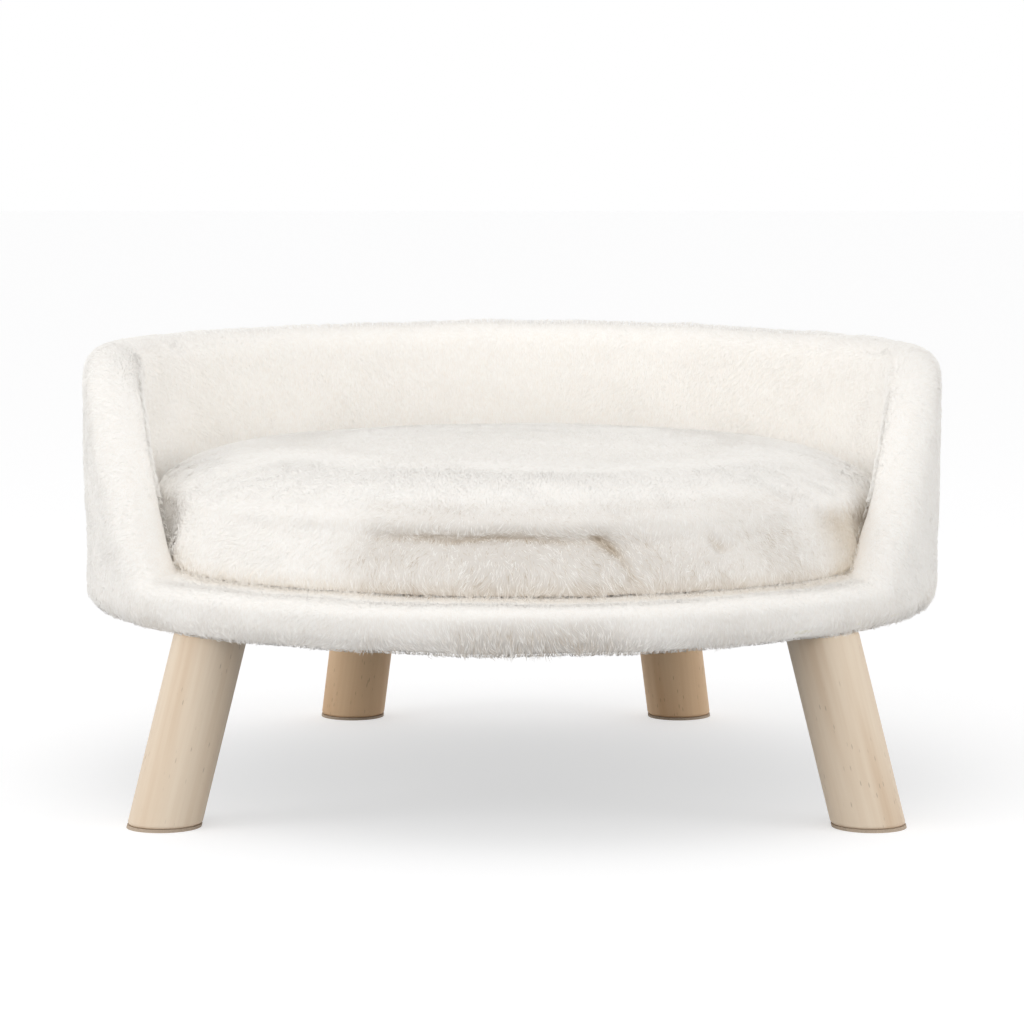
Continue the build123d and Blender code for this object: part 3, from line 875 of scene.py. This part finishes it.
def comb_upholstery(roots, out):
    """The bed's pile hangs down its sides and outwards over its edges."""
    spin = azimuths(roots)
    outwards, sideways = level_ways(spin)
    swirl = drift(roots, 55 * MM, 11) + 0.6 * drift(roots, 16 * MM, 12)
    level = np.abs(out[:, 2])[:, None]
    way = (0.5 + level) * outwards + 0.45 * swirl[:, None] * sideways
    way[:, 2] -= 1.0
    # Tousled patches low on the band's front stand up more, with uneven tone; their darker tone is painted
    # shade of the pile's own shadow
    ruffled = ramp(drift(roots, 45 * MM, 15), -1.8, 0.5) * ramp(BAND_TOP - roots[:, 2], 0, 16 * MM)
    ruffled *= 0.3 + 0.7 * window(spin, *RUFFLED_FRONT)
    lean = PILE_LEAN - radians(22) * ruffled + LEAN_DRIFT * drift(roots, 22 * MM, 13)
    below = out[:, 2] < -0.8
    length = np.where(below, 0.45, 1.0) * (1 + 0.25 * ruffled + 0.08 * drift(roots, 12 * MM, 14))
    on_seat = (roots[:, 2] < SEAT_TOP + 2 * MM) * ramp(out[:, 2], 0.5, 0.9)
    lean += radians(20) * on_seat
    length *= 1 - 0.35 * on_seat
    # Painted shade: a tinted ring on the seat round the cushion's edge, across the open front
    beside = radii(roots) - CUSHION_RADIUS - front_reach(spin)
    deep = 0.5 * on_seat * ridge(beside, 3.5 * MM) * open_front(spin)
    return way, length, lean, ruffled, deep


def upholstery_spacing(sizes, centres, facing):
    """Distance between the bed's locks, wider where the cushion hides them, none underneath."""
    middle = radii(centres)
    hidden = (middle < CUSHION_RADIUS - 10 * MM) & (centres[:, 2] < ON_SEAT)
    behind_cushion = (facing * centres)[:, :2].sum(1) < 0
    behind_cushion &= centres[:, 2] < CUSHION_SEAM + 8 * MM
    behind_cushion &= middle < CUSHION_RADIUS + 25 * MM
    spacing = np.where(hidden | behind_cushion, sizes.hidden_spacing, sizes.spacing)
    return np.where((facing[:, 2] < -0.9) & (middle < BARE_UNDERSIDE), 0, spacing)


def pulled_cover(points):
    """The bed's soft cover pulled a little out of true, as it sits on the real frame."""
    points = points.copy()
    spin = azimuths(points)
    reach = radii(points)
    outer = ramp(reach, *WALL_OUTSIDE)
    inner = (1 - outer) * ramp(reach, *WALL_INSIDE) * ramp(points[:, 2], *WALL_HEIGHTS)
    push = window(-spin, *LEFT_ARM) * (LEFT_ARM_OUT * outer - LEFT_ARM_IN * inner)
    points[:, :2] *= (1 + push / np.maximum(reach, 1e-9))[:, None]
    rise = RIM_RISE * ridge(points[:, 0], RIM_BACK) * (points[:, 1] > 0)
    fall = RIM_FALL * ramp(points[:, 0], *RIM_RIGHT)
    points[:, 2] += ramp(points[:, 2], *RIM_HEIGHTS) * (rise - fall)
    turn = np.zeros(len(spin))
    for side, angle in zip((-1, 1), ARM_TURNS):
        turn += angle * ramp(side * spin, *ARM_START) * (1 - ramp(side * spin, *ARM_END))
    points = turned(points, turn)
    points[:, 0] += COVER_SHIFT
    return points


def upholstered(points, out, far, sizes):
    """The cover's points: under the pile, flat under the cushion, drawn in at the seams."""
    ranked = np.sort(far, axis=1)
    seam = ridge(ranked[:, 1] - ranked[:, 0], 6 * MM)
    below = ramp(-out[:, 2], 0.7, 0.95)
    pressed = ramp(out[:, 2], 0.8, 0.95) * (points[:, 2] < ON_SEAT)
    beyond = radii(points) - CUSHION_RADIUS - front_reach(azimuths(points))
    pressed *= 1 - ramp(beyond, -2 * MM, 6 * MM)
    inset = sizes.pile_height * (1 - np.maximum(0.8 * below, pressed))
    relief = 0.45 * MM * drift(points, 35 * MM, 1) + 0.12 * MM * drift(points, 9 * MM, 2)
    sag = front_sag(points) * ramp(points[:, 2], SEAT_TOP - 17 * MM, SEAT_TOP - 3 * MM)
    sag *= points[:, 2] < ON_SEAT
    points = points - out * (inset + 0.35 * MM * seam - relief)[:, None]
    points[:, 2] -= sag
    return pulled_cover(points)


class BED_OT_upholstery(Operator):
    """Covers the base and the backrest with plush"""

    bl_idname = "bed.upholstery"
    bl_label = "Upholstery"

    def execute(self, context):
        sizes = context.scene.bed_plush
        body = smoothed(remeshed(joined(COVERS + STUFFING), UPHOLSTERY_GRID), SMOOTHING)
        points, out = places(body), normals(body)
        far = nearest_covers(points)
        move(body, upholstered(points, out, far, sizes))
        region = far.argmin(1)[corners(body)]
        votes = np.stack([(region == number).sum(1) for number in range(len(COVERS))], 1)
        face_region = votes.argmax(1)
        plush = Plush("bed", "plush", "plush", sizes, 0.9, upholstery_spacing, comb_upholstery)
        for number, node in enumerate(COVERS):
            plush.cover(node, body, face_region == number, 100 + number)
        bpy.data.meshes.remove(body)
        return {"FINISHED"}


def edge_pairs(mesh):
    """Vertex numbers of each edge."""
    pairs = np.empty(len(mesh.edges) * 2, np.int32)
    mesh.edges.foreach_get("vertices", pairs)
    return pairs.reshape(-1, 2)


def evened(values, pairs, times):
    """Values averaged with their neighbours' many times."""
    count = np.bincount(pairs.ravel(), minlength=len(values))[:, None]
    for _ in range(times):
        total = np.zeros_like(values)
        for axis in range(values.shape[1]):
            total[:, axis] += np.bincount(pairs[:, 0], values[pairs[:, 1], axis], len(values))
            total[:, axis] += np.bincount(pairs[:, 1], values[pairs[:, 0], axis], len(values))
        values = (values + total / count) / 2
    return values


# The cloth that swells: stiff enough to keep its form, slack enough to pucker
CLOTH = {
    "quality": 5,
    "mass": 0.3,
    "tension_stiffness": 18,
    "compression_stiffness": 18,
    "shear_stiffness": 8,
    "bending_stiffness": 0.4,
    "shrink_min": -0.035,
    "vertex_group_mass": "held",
    "pin_stiffness": 1.0,
    "use_pressure": True,
    "uniform_pressure_force": 4.0,
}
CLOTH_FRAMES = 20


def swollen(mesh, sizes):
    """The cushion's cover swollen by its filling, as simulated cloth that keeps its overall form."""
    start = places(mesh)
    blank = linked("blank", mesh)
    group = blank.vertex_groups.new(name="held")
    above_seam = start[:, 2] - CUSHION_SEAM
    held = (np.abs(above_seam) < sizes.mesh_size * 0.7) | (start[:, 2] < CUSHION_FLOOR + 9 * MM)
    group.add(np.nonzero(held)[0].tolist(), 1.0, "REPLACE")
    cloth = blank.modifiers.new("cloth", "CLOTH")
    for name, value in CLOTH.items():
        setattr(cloth.settings, name, value)
    cloth.settings.effector_weights.gravity = 0
    cloth.collision_settings.use_self_collision = False
    cloth.point_cache.frame_start = 1
    cloth.point_cache.frame_end = CLOTH_FRAMES
    scene = bpy.context.scene
    for number in range(1, CLOTH_FRAMES + 1):
        scene.frame_set(number)
    swelled = applied(blank)
    scene.frame_set(1)
    step = places(swelled) - start
    far = np.linalg.norm(step, axis=1, keepdims=True)
    step *= np.minimum(1, sizes.swell / np.maximum(far, 1e-9))
    step -= evened(step, edge_pairs(swelled), 60)
    puckered = ramp(radii(start), CUSHION_RADIUS - 60 * MM, CUSHION_RADIUS - 15 * MM)
    puckered *= ramp(np.abs(above_seam), 2 * MM, 14 * MM)
    move(swelled, start + step * (sizes.pucker * puckered)[:, None])
    return swelled


# Places between which something on the cushion grows: azimuths, radii and distances
CROWN = lengths(110, 235)
CUSHION_RING = lengths(226, 244)
COMBED_START = angles(-30, -18)
COMBED_RIGHT = angles(12, 26)
COMBED_END = angles(42, 56)
RIGHT_CORNER = angles(48, 59)
LEFT_CORNER = angles(50, 62)
PARTING = radians(20)
PARTING_RAGGED = radians(15)


def comb_cushion(roots, out):
    """The cushion's pile lies forwards on top and hangs down its side."""
    spin, reach, height = azimuths(roots), radii(roots), roots[:, 2]
    outwards, sideways = level_ways(spin)
    outwards *= np.clip(reach / CUSHION_RADIUS, 0, 1)[:, None]
    swirl = drift(roots, 60 * MM, 21) + 0.8 * drift(roots, 15 * MM, 22)
    way = 0.9 * outwards + np.array([0.0, -0.6, -0.8])
    way += (0.15 + 0.35 * ramp(reach, 215 * MM, 245 * MM))[:, None] * swirl[:, None] * sideways
    crown = (1 - ramp(reach + 10 * MM * drift(roots, 50 * MM, 23), *CROWN)) * (out[:, 2] > 0)
    # The pile turns round by the right on one side of a ragged line and by the left on the other
    by_right = np.sign(spin + PARTING + PARTING_RAGGED * drift(roots, 3 * MM, 27))
    way = turned(way, pi * crown * by_right)
    ring = ramp(reach, *CUSHION_RING)
    under_seam = ramp(CUSHION_SEAM + 2 * MM - height, 0, 8 * MM)
    side = ring * (0.55 * ramp(226 * MM - height, 0, 12 * MM) + 0.45 * under_seam)
    combed = ramp(spin, *COMBED_START) * (1 - 0.35 * ramp(spin, *COMBED_RIGHT))
    combed *= 1 - ramp(spin, *COMBED_END)
    patches = 0.75 + 0.35 * ramp(drift(roots, 32 * MM, 26), -0.8, 0.8)
    # Tousled patches low on the cushion's front side stand up more, with uneven tone; their darker tone is
    # painted shade of the pile's own shadow
    ruffled = np.clip(side * patches * (0.12 + 0.98 * combed), 0, 1)
    lean = PILE_LEAN - radians(20) * ruffled + LEAN_DRIFT * drift(roots, 20 * MM, 24)
    lean += radians(14) * ramp(out[:, 2], 0.75, 0.93)
    low = ramp(CUSHION_SEAM - height, 10 * MM, 30 * MM) * ring
    length = (1 + 0.08 * drift(roots, 12 * MM, 25)) * (1 + 0.2 * ruffled + 0.5 * low)
    hem = (1 - ramp(height - CUSHION_FLOOR, 3 * MM, 9 * MM)) * ring
    way += 1.2 * hem[:, None] * outwards
    # Painted shade in the corners beside the arms, low on the cushion's side
    right_corner_painted_shade = 0.85 * ramp(spin, *RIGHT_CORNER) * ramp(213 * MM - height, 0, 20 * MM)
    left_corner_painted_shade = 0.4 * ramp(-spin, *LEFT_CORNER) * ramp(189 * MM - height, 0, 20 * MM)
    # Painted shade in the folds and along the hem where the cushion meets the seat
    deep = np.clip((fold_depth(roots) - 1.5 * MM) / (4.5 * MM), 0, 1) + 0.35 * hem
    deep += ring * (right_corner_painted_shade + left_corner_painted_shade)
    return way, length, lean, ruffled, np.clip(deep, 0, 1)


def cushion_spacing(plush, middles, facing):
    """Distance between the cushion's locks, wider underneath, with none in the zip's mouth."""
    spin = np.abs(np.abs(azimuths(middles)) - pi)
    in_mouth = (np.abs(middles[:, 2] - CUSHION_SEAM) < 5.5 * MM) & (spin < ZIP_HALF_ANGLE)
    spacing = np.where(facing[:, 2] < -0.8, plush.hidden_spacing, plush.spacing)
    return np.where(in_mouth & (radii(middles) > CUSHION_SIDE), 0, spacing)


def seam_height(points):
    """Height of the cushion's seam, which sags a little at the front."""
    return CUSHION_SEAM - SEAM_SAG * ridge(azimuths(points), radians(30))


# Folds in the cushion's front, as (azimuth in degrees, height in millimetres) where each starts
# and ends, its depth and its width in millimetres
FOLDS = (
    ((-21.0, 198.0), (12.0, 197.0), 5.5, 3.4),
    ((-22.0, 206.0), (16.0, 205.0), -2.5, 6.5),
    ((11.5, 199.0), (15.0, 187.0), 7.5, 4.2),
    ((9.0, 188.0), (10.0, 172.0), -2.0, 9.0),
    ((15.0, 188.0), (16.5, 168.0), 3.4, 4.5),
    ((16.0, 193.0), (28.0, 195.0), 2.0, 4.0),
    ((29.5, 198.0), (31.5, 184.0), 3.5, 4.0),
    ((31.0, 191.0), (34.0, 186.0), 2.5, 3.5),
    ((-10.5, 192.0), (-9.5, 176.0), 2.0, 4.0),
    ((-46.0, 200.0), (-38.0, 197.0), 1.5, 4.0),
    ((52.0, 200.0), (62.0, 198.0), 2.0, 4.0),
)


def fold_depth(points):
    """How far the folds sink in at each point of the cushion."""
    total = np.zeros(len(points))
    flat = np.stack([azimuths(points) * CUSHION_RADIUS, points[:, 2]], 1)
    flat[:, 1] += 1.5 * MM * drift(points, 30 * MM, 31)
    for start, end, depth, width in FOLDS:
        first = np.array([radians(start[0]) * CUSHION_RADIUS, start[1] * MM])
        last = np.array([radians(end[0]) * CUSHION_RADIUS, end[1] * MM])
        run = last - first
        share = np.clip(((flat - first) @ run) / (run @ run), 0, 1)
        far = np.linalg.norm(flat - first - share[:, None] * run, axis=1)
        taper = np.sin(pi * np.clip(share * 0.9 + 0.05, 0, 1)) ** 0.5
        total += depth * MM * taper * ridge(far, width * MM)
    return np.where(radii(points) > CUSHION_SIDE, total, 0)


def front_bulge(points):
    """How far the cushion's free front swells past the wall's circle between the arms."""
    side = ramp(radii(points), CUSHION_SIDE, CUSHION_RADIUS * 0.95)
    low = 1 - 0.75 * ramp(points[:, 2], 172 * MM, 204 * MM)
    return front_reach(azimuths(points)) * side * low * (1 - ramp(points[:, 2], 205 * MM, 225 * MM))


def settled(points, sizes, plush):
    """The cushion's round lower edge filled out to a tight one that lies on the seat."""
    reach = radii(points)
    floor = CUSHION_FLOOR + plush.pile_height
    rim = CUSHION_RADIUS - plush.pile_height
    turn = rim - CUSHION_CORNER
    level = floor + CUSHION_CORNER
    new_floor = CUSHION_FLOOR + 0.1 * plush.pile_height
    new_turn = rim - sizes.edge_radius
    new_level = new_floor + sizes.edge_radius
    height = points[:, 2].copy()
    angle = np.arctan2(reach - turn, level - height)
    far = np.hypot(reach - turn, level - height) / CUSHION_CORNER * sizes.edge_radius
    start = turn - 60 * MM
    spread = (reach - start) * (new_turn - start) / (turn - start) + start
    in_corner = (reach > turn) & (height < level)
    on_floor = (reach <= turn) & (reach > start) & (height < level)
    on_side = (height >= level) & (height < CUSHION_SEAM) & (reach > turn)
    wide = np.where(on_floor, spread, reach)
    wide = np.where(in_corner, new_turn + far * np.sin(angle), wide)
    high = np.where(in_corner, new_level - far * np.cos(angle), height)
    stretch = (CUSHION_SEAM - new_level) / (CUSHION_SEAM - level)
    high = np.where(on_side, CUSHION_SEAM - (CUSHION_SEAM - height) * stretch, high)
    high = np.where(on_floor | (height < floor + 1 * MM) & (reach <= start), new_floor, high)
    scale = wide / np.maximum(reach, 1e-9)
    return np.stack([points[:, 0] * scale, points[:, 1] * scale, high], 1)


def blank_cushion(sizes, plush):
    """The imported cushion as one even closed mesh, under the pile and filled out to its corners."""
    body = smoothed(remeshed(joined(CUSHION_NODES), sizes.mesh_size), SMOOTHING)
    move(body, places(body) - normals(body) * plush.pile_height)
    move(body, settled(places(body), sizes, plush))
    points = places(body)
    shoulder = ramp(points[:, 2], CUSHION_SEAM - 12 * MM, CUSHION_SEAM - 2 * MM)
    shoulder *= ramp(radii(points), CUSHION_RADIUS - 75 * MM, CUSHION_RADIUS - 45 * MM)
    round_off = evened(points, edge_pairs(body), 24) - points
    move(body, points + round_off * shoulder[:, None])
    return body


def sewn(points, out, sizes, plush):
    """The cushion's points drawn in at the seam, the folds and the zip's mouth, and bulged in front."""
    spin = azimuths(points)
    side = ramp(radii(points), CUSHION_SIDE, CUSHION_RADIUS * 0.93)
    seam = ridge(points[:, 2] - seam_height(points), 4.5 * MM) * side
    gathers = 0.6 + 0.6 * drift(points, 45 * MM, 41)
    relief = 0.35 * MM * drift(points, 60 * MM, 42) + 0.12 * MM * drift(points, 14 * MM, 43)
    depth = sizes.seam_depth * seam * gathers + fold_depth(points) - relief
    bulge = front_bulge(points)
    points = points - out * depth[:, None]
    points[:, 0] += bulge * np.sin(spin)
    points[:, 1] -= bulge * np.cos(spin)
    behind = np.abs(np.abs(spin) - pi) < ZIP_HALF_ANGLE
    mouth = behind * ramp(-np.abs(points[:, 2] - CUSHION_SEAM), -7 * MM, -4.6 * MM)
    ring = radii(points)
    wanted = np.where(mouth > 0, np.minimum(ring, TAPE_RADIUS - 1.2 * MM), ring)
    scale = (ring + (wanted - ring) * mouth) / np.maximum(ring, 1e-9)
    points[:, :2] *= np.where(ring > CUSHION_SIDE, scale, 1)[:, None]
    points[:, 2] = np.maximum(points[:, 2], CUSHION_FLOOR + 0.1 * plush.pile_height)
    points[:, 2] -= front_sag(points) * (1 - ramp(points[:, 2], SEAT_TOP + 3 * MM, SEAT_TOP + 25 * MM))
    return points


class BED_OT_cushion(Operator):
    """Makes the loose cushion's plush cover"""

    bl_idname = "bed.cushion"
    bl_label = "Cushion"

    def execute(self, context):
        pile = context.scene.bed_plush
        sizes = context.scene.bed_cushion
        body = blank_cushion(sizes, pile)
        body = swollen(body, sizes)
        blank = linked("blank", body)
        blank.modifiers.new("fine", "SUBSURF").levels = 1
        body = applied(blank)
        points = sewn(places(body), normals(body), sizes, pile)
        move(body, points)
        self.stuff(body, sizes)
        plush = Plush(
            "cushion", "cushion", "cushion_plush", pile, sizes.fill, cushion_spacing, comb_cushion
        )
        centres = points[corners(body)].mean(1)
        above = centres[:, 2] > seam_height(centres)
        for number, (node, keep) in enumerate(zip(CUSHION_NODES, (above, ~above))):
            plush.cover(node, body, keep, 200 + number)
        bpy.data.meshes.remove(body)
        return {"FINISHED"}

    def stuff(self, body, sizes):
        """The inner bag and its fibre filling, which take the cover's shape."""
        bag = cloth_material("bag cloth", (0.80, 0.80, 0.79), (0.92, 0.92, 0.91), 1200.0)
        fibre = foam_material("fibre", (0.84, 0.84, 0.83), (0.94, 0.94, 0.93))
        for node, depth, slot, material in (
            ("cushion_inner_bag", 3.0 * MM, "bag_cloth", bag),
            ("cushion_filling", 5.0 * MM, "fibre_filling", fibre),
        ):
            inner = body.copy()
            move(inner, places(body) - normals(body) * depth)
            inner.shade_smooth()
            piece = linked(node + "_filled", inner)
            stand_in(piece, node, "cushion", material)


def leg_ends(node):
    """Centres of a leg's foot and top, and its radius."""
    points = places(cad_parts[node].data)
    ends = []
    for level in (points[:, 2].min(), points[:, 2].max()):
        rim = points[np.abs(points[:, 2] - level) < 0.01 * MM]
        ends.append(Vector((*((rim[:, :2].min(0) + rim[:, :2].max(0)) / 2), level)))
    axis = np.array((ends[1] - ends[0]).normalized())
    away = points - np.array(ends[0])
    away -= np.outer(away @ axis, axis)
    return ends[0], ends[1], float(np.linalg.norm(away, axis=1).max())


LEG_PLACES = ("front_left", "front_right", "rear_left", "rear_right")
LEG_RINGS = 40
LEG_SIDES = 72

# Degrees by which each leg's grain is turned from the one before
GRAIN_TURN = 97


def leg_mesh(name, home, axis, foot, top, radius, bevel):
    """A leg of even rings, cut level at both ends and drawn in at their edges."""
    builder = bmesh.new()
    loops = []
    for index in range(LEG_RINGS + 3):
        height = foot.z + (top.z - foot.z) * min(max(index - 1, 0) / LEG_RINGS, 1)
        height += bevel * ((index == 1) - (index == LEG_RINGS + 1))
        rim = radius - (bevel if index in (0, LEG_RINGS + 2) else 0)
        loop = []
        for step in range(LEG_SIDES):
            angle = 2 * pi * step / LEG_SIDES
            spot = home @ Vector((rim * cos(angle), rim * sin(angle), 0))
            loop.append(builder.verts.new(spot + axis * ((height - spot.z) / axis.z)))
        loops.append(loop)
    for low, high in zip(loops, loops[1:]):
        for step in range(LEG_SIDES):
            after = (step + 1) % LEG_SIDES
            builder.faces.new((low[step], low[after], high[after], high[step]))
    builder.faces.new(reversed(loops[0]))
    builder.faces.new(loops[-1])
    mesh = bpy.data.meshes.new(name)
    builder.to_mesh(mesh)
    builder.free()
    mesh.shade_smooth()
    return mesh


class BED_OT_legs(Operator):
    """Turns the four wooden legs"""

    bl_idname = "bed.legs"
    bl_label = "Legs"

    def execute(self, context):
        look = context.scene.bed_wood
        felt = cloth_material("felt", (0.42, 0.33, 0.25), (0.56, 0.46, 0.36), 900.0)
        for number, place in enumerate(LEG_PLACES):
            node = "leg_" + place
            foot, top, radius = leg_ends(node)
            axis = (top - foot).normalized()
            turn = axis.to_track_quat("Z", "Y").to_matrix().to_4x4()
            home = Matrix.Translation(foot) @ turn @ Matrix.Rotation(radians(GRAIN_TURN * number), 4, "Z")
            mesh = leg_mesh(node + "_turned", home, axis, foot, top, radius, look.foot_bevel)
            piece = linked(node + "_turned", mesh)
            edges = piece.modifiers.new("edges", "BEVEL")
            edges.width = look.foot_bevel * 0.6
            edges.segments = 3
            edges.limit_method = "ANGLE"
            edges.angle_limit = radians(35)
            # Rear legs: painted shade under the bed, and browner wood
            browned_and_painted_shade = look.browned_and_painted_shade if place.startswith("rear") else (1.0, 1.0, 1.0)
            wood = wood_material("leg wood " + place.replace("_", " "), look, home, browned_and_painted_shade)
            stand_in(piece, node, "bed", wood)
            finish("foot_pad_" + place, felt)
        return {"FINISHED"}


class BED_OT_inner_parts(Operator):
    """Finishes the board, foam and fixings"""

    bl_idname = "bed.inner_parts"
    bl_label = "Inner Parts"

    def execute(self, context):
        plywood = plywood_material("plywood")
        foam = foam_material("foam", (0.74, 0.70, 0.55), (0.90, 0.87, 0.76))
        dust = cloth_material("dust cloth", (0.012, 0.012, 0.012), (0.05, 0.05, 0.05), 700.0)
        steel = metal_material("zinc steel", (0.42, 0.43, 0.45), (0.66, 0.67, 0.69), 1.0, 0.35)
        for node in ("base_board", "back_panel"):
            finish(node, plywood)
        for node in ("base_foam", "back_foam_inner", "back_foam_outer"):
            finish(node, foam)
        for node in ("leg_bolts", "tee_nuts", "panel_screws", "dust_cover_staples", "hem_staples"):
            finish(node, steel)
        finish("dust_cover", dust)
        return {"FINISHED"}


class BED_OT_zip(Operator):
    """Finishes the cushion's zip"""

    bl_idname = "bed.zip"
    bl_label = "Zip"

    def execute(self, context):
        tape = cloth_material("zip tape", (0.70, 0.67, 0.61), (0.84, 0.81, 0.76), 1500.0, 0.8)
        enamel = metal_material("zip enamel", (0.74, 0.71, 0.66), (0.84, 0.82, 0.78), 0.0, 0.32)
        for node in ("zip_tape_upper", "zip_tape_lower", "zip_chain_upper", "zip_chain_lower"):
            finish(node, tape)
        for node in ("zip_slider", "zip_pull", "zip_stops"):
            finish(node, enamel)
        return {"FINISHED"}


def seen_directly(tree):
    """1 where the camera or a reflection looks and 0 elsewhere, so that white adds no light."""
    path = add_node(tree, "ShaderNodeLightPath")
    seen = path.outputs["Is Camera Ray"]
    for name in ("Is Glossy Ray", "Is Transmission Ray"):
        larger = add_node(tree, "ShaderNodeMath", {"operation": "MAXIMUM"}, _0=seen, _1=path.outputs[name])
        seen = larger.outputs[0]
    return seen


WHITE = (1, 1, 1)
FLOOR_GREY = (0.53, 0.53, 0.533)
FLOOR_REACH = 14.0
LAMP_SIZE = 1.3
LAMP_TARGET = Vector((0, 0, 0.2))
LAMPS = (
    ("overhead", "key", (-0.35, -0.55, 1.75)),
    ("left softbox", "left", (-2.3, -1.0, 0.9)),
    ("right softbox", "right", (2.3, -1.0, 0.9)),
    ("front softbox", "front", (0.0, -2.5, 0.9)),
)


class BED_OT_studio(Operator):
    """Sets up the floor, the lamps and the camera"""

    bl_idname = "bed.studio"
    bl_label = "Studio"

    def execute(self, context):
        sizes = context.scene.bed_studio
        self.floor(sizes)
        self.surround(context.scene, sizes)
        for name, power, place in LAMPS:
            lamp = bpy.data.lights.new(name, "AREA")
            lamp.shape = "DISK"
            lamp.size = LAMP_SIZE
            lamp.energy = getattr(sizes, power)
            stand = linked(name, lamp)
            stand.location = place
            stand.rotation_euler = (LAMP_TARGET - stand.location).to_track_quat("-Z", "Y").to_euler()
        view = bpy.data.cameras.new("camera")
        view.lens = sizes.lens
        view.sensor_width = 36
        view.clip_end = 60
        camera = linked("camera", view)
        camera.location = (sizes.camera_side, -sizes.camera_distance, sizes.camera_height)
        camera.rotation_euler = (pi / 2 - sizes.camera_tilt, 0, 0)
        context.scene.camera = camera
        context.scene.view_settings.view_transform = "Standard"
        return {"FINISHED"}

    def floor(self, sizes):
        """A wide white floor that still takes shadows."""
        mesh = bpy.data.meshes.new("floor")
        spots = [(FLOOR_REACH * x, FLOOR_REACH * y, 0) for x, y in ((-1, -1), (1, -1), (1, 1), (-1, 1))]
        mesh.from_pydata(spots, [], [(0, 1, 2, 3)])
        linked("floor", mesh)
        shader = Shader("white floor")
        tree = shader.tree
        shader.paint(Base_Color=FLOOR_GREY, Roughness=0.9, Specular_IOR_Level=0.1)
        share = shader.math("MULTIPLY", seen_directly(tree), sizes.floor_glow)
        glow = shader.node("ShaderNodeEmission", Color=WHITE, Strength=share)
        both = shader.node("ShaderNodeAddShader", _0=shader.main.outputs[0], _1=glow.outputs[0])
        set_socket(tree, tree.nodes["Material Output"].inputs["Surface"], both.outputs[0])
        mesh.materials.append(shader.material)

    def surround(self, scene, sizes):
        """Light from all round, stronger from the sides, behind a white ground."""
        world = bpy.data.worlds.new("studio")
        scene.world = world
        world.use_nodes = True
        tree = world.node_tree
        ways = add_node(tree, "ShaderNodeTexCoord").outputs["Generated"]
        upward = add_node(tree, "ShaderNodeSeparateXYZ", _0=ways).outputs["Z"]
        settings = {"Value": upward, "To_Min": sizes.horizon, "To_Max": sizes.zenith}
        level = add_node(tree, "ShaderNodeMapRange", **settings)
        light = tree.nodes["Background"]
        set_socket(tree, light.inputs["Color"], WHITE)
        set_socket(tree, light.inputs["Strength"], level.outputs[0])
        white = add_node(tree, "ShaderNodeBackground", Color=WHITE, Strength=1.0)
        choice = add_node(
            tree, "ShaderNodeMixShader", _0=seen_directly(tree), _1=light.outputs[0], _2=white.outputs[0]
        )
        set_socket(tree, tree.nodes["World Output"].inputs["Surface"], choice.outputs[0])


class BED_PT_panel(Panel):
    """Lists the steps that dress the bed."""

    bl_label = "Sofa Bed"
    bl_idname = "BED_PT_panel"
    bl_space_type = "VIEW_3D"
    bl_region_type = "UI"
    bl_category = "Sofa Bed"

    def draw(self, context):
        for operator in OPERATORS:
            self.layout.operator(operator.bl_idname)
        for name in SETTINGS:
            sizes = getattr(context.scene, name)
            box = self.layout.box()
            for prop in sizes.__annotations__:
                box.prop(sizes, prop)


OPERATORS = (
    BED_OT_upholstery,
    BED_OT_cushion,
    BED_OT_legs,
    BED_OT_inner_parts,
    BED_OT_zip,
    BED_OT_studio,
)
SETTINGS = {
    "bed_plush": PlushSizes,
    "bed_cushion": CushionSizes,
    "bed_wood": WoodLook,
    "bed_studio": StudioSizes,
}


def register():
    for kind in (*SETTINGS.values(), *OPERATORS, BED_PT_panel):
        bpy.utils.register_class(kind)
    for name, kind in SETTINGS.items():
        setattr(bpy.types.Scene, name, PointerProperty(type=kind))


def unregister():
    for name in SETTINGS:
        delattr(bpy.types.Scene, name)
    for kind in reversed((*SETTINGS.values(), *OPERATORS, BED_PT_panel)):
        bpy.utils.unregister_class(kind)


def main():
    register()
    bpy.ops.bed.upholstery()
    bpy.ops.bed.cushion()
    bpy.ops.bed.legs()
    bpy.ops.bed.inner_parts()
    bpy.ops.bed.zip()
    bpy.ops.bed.studio()


if __name__ == "__main__":
    main()
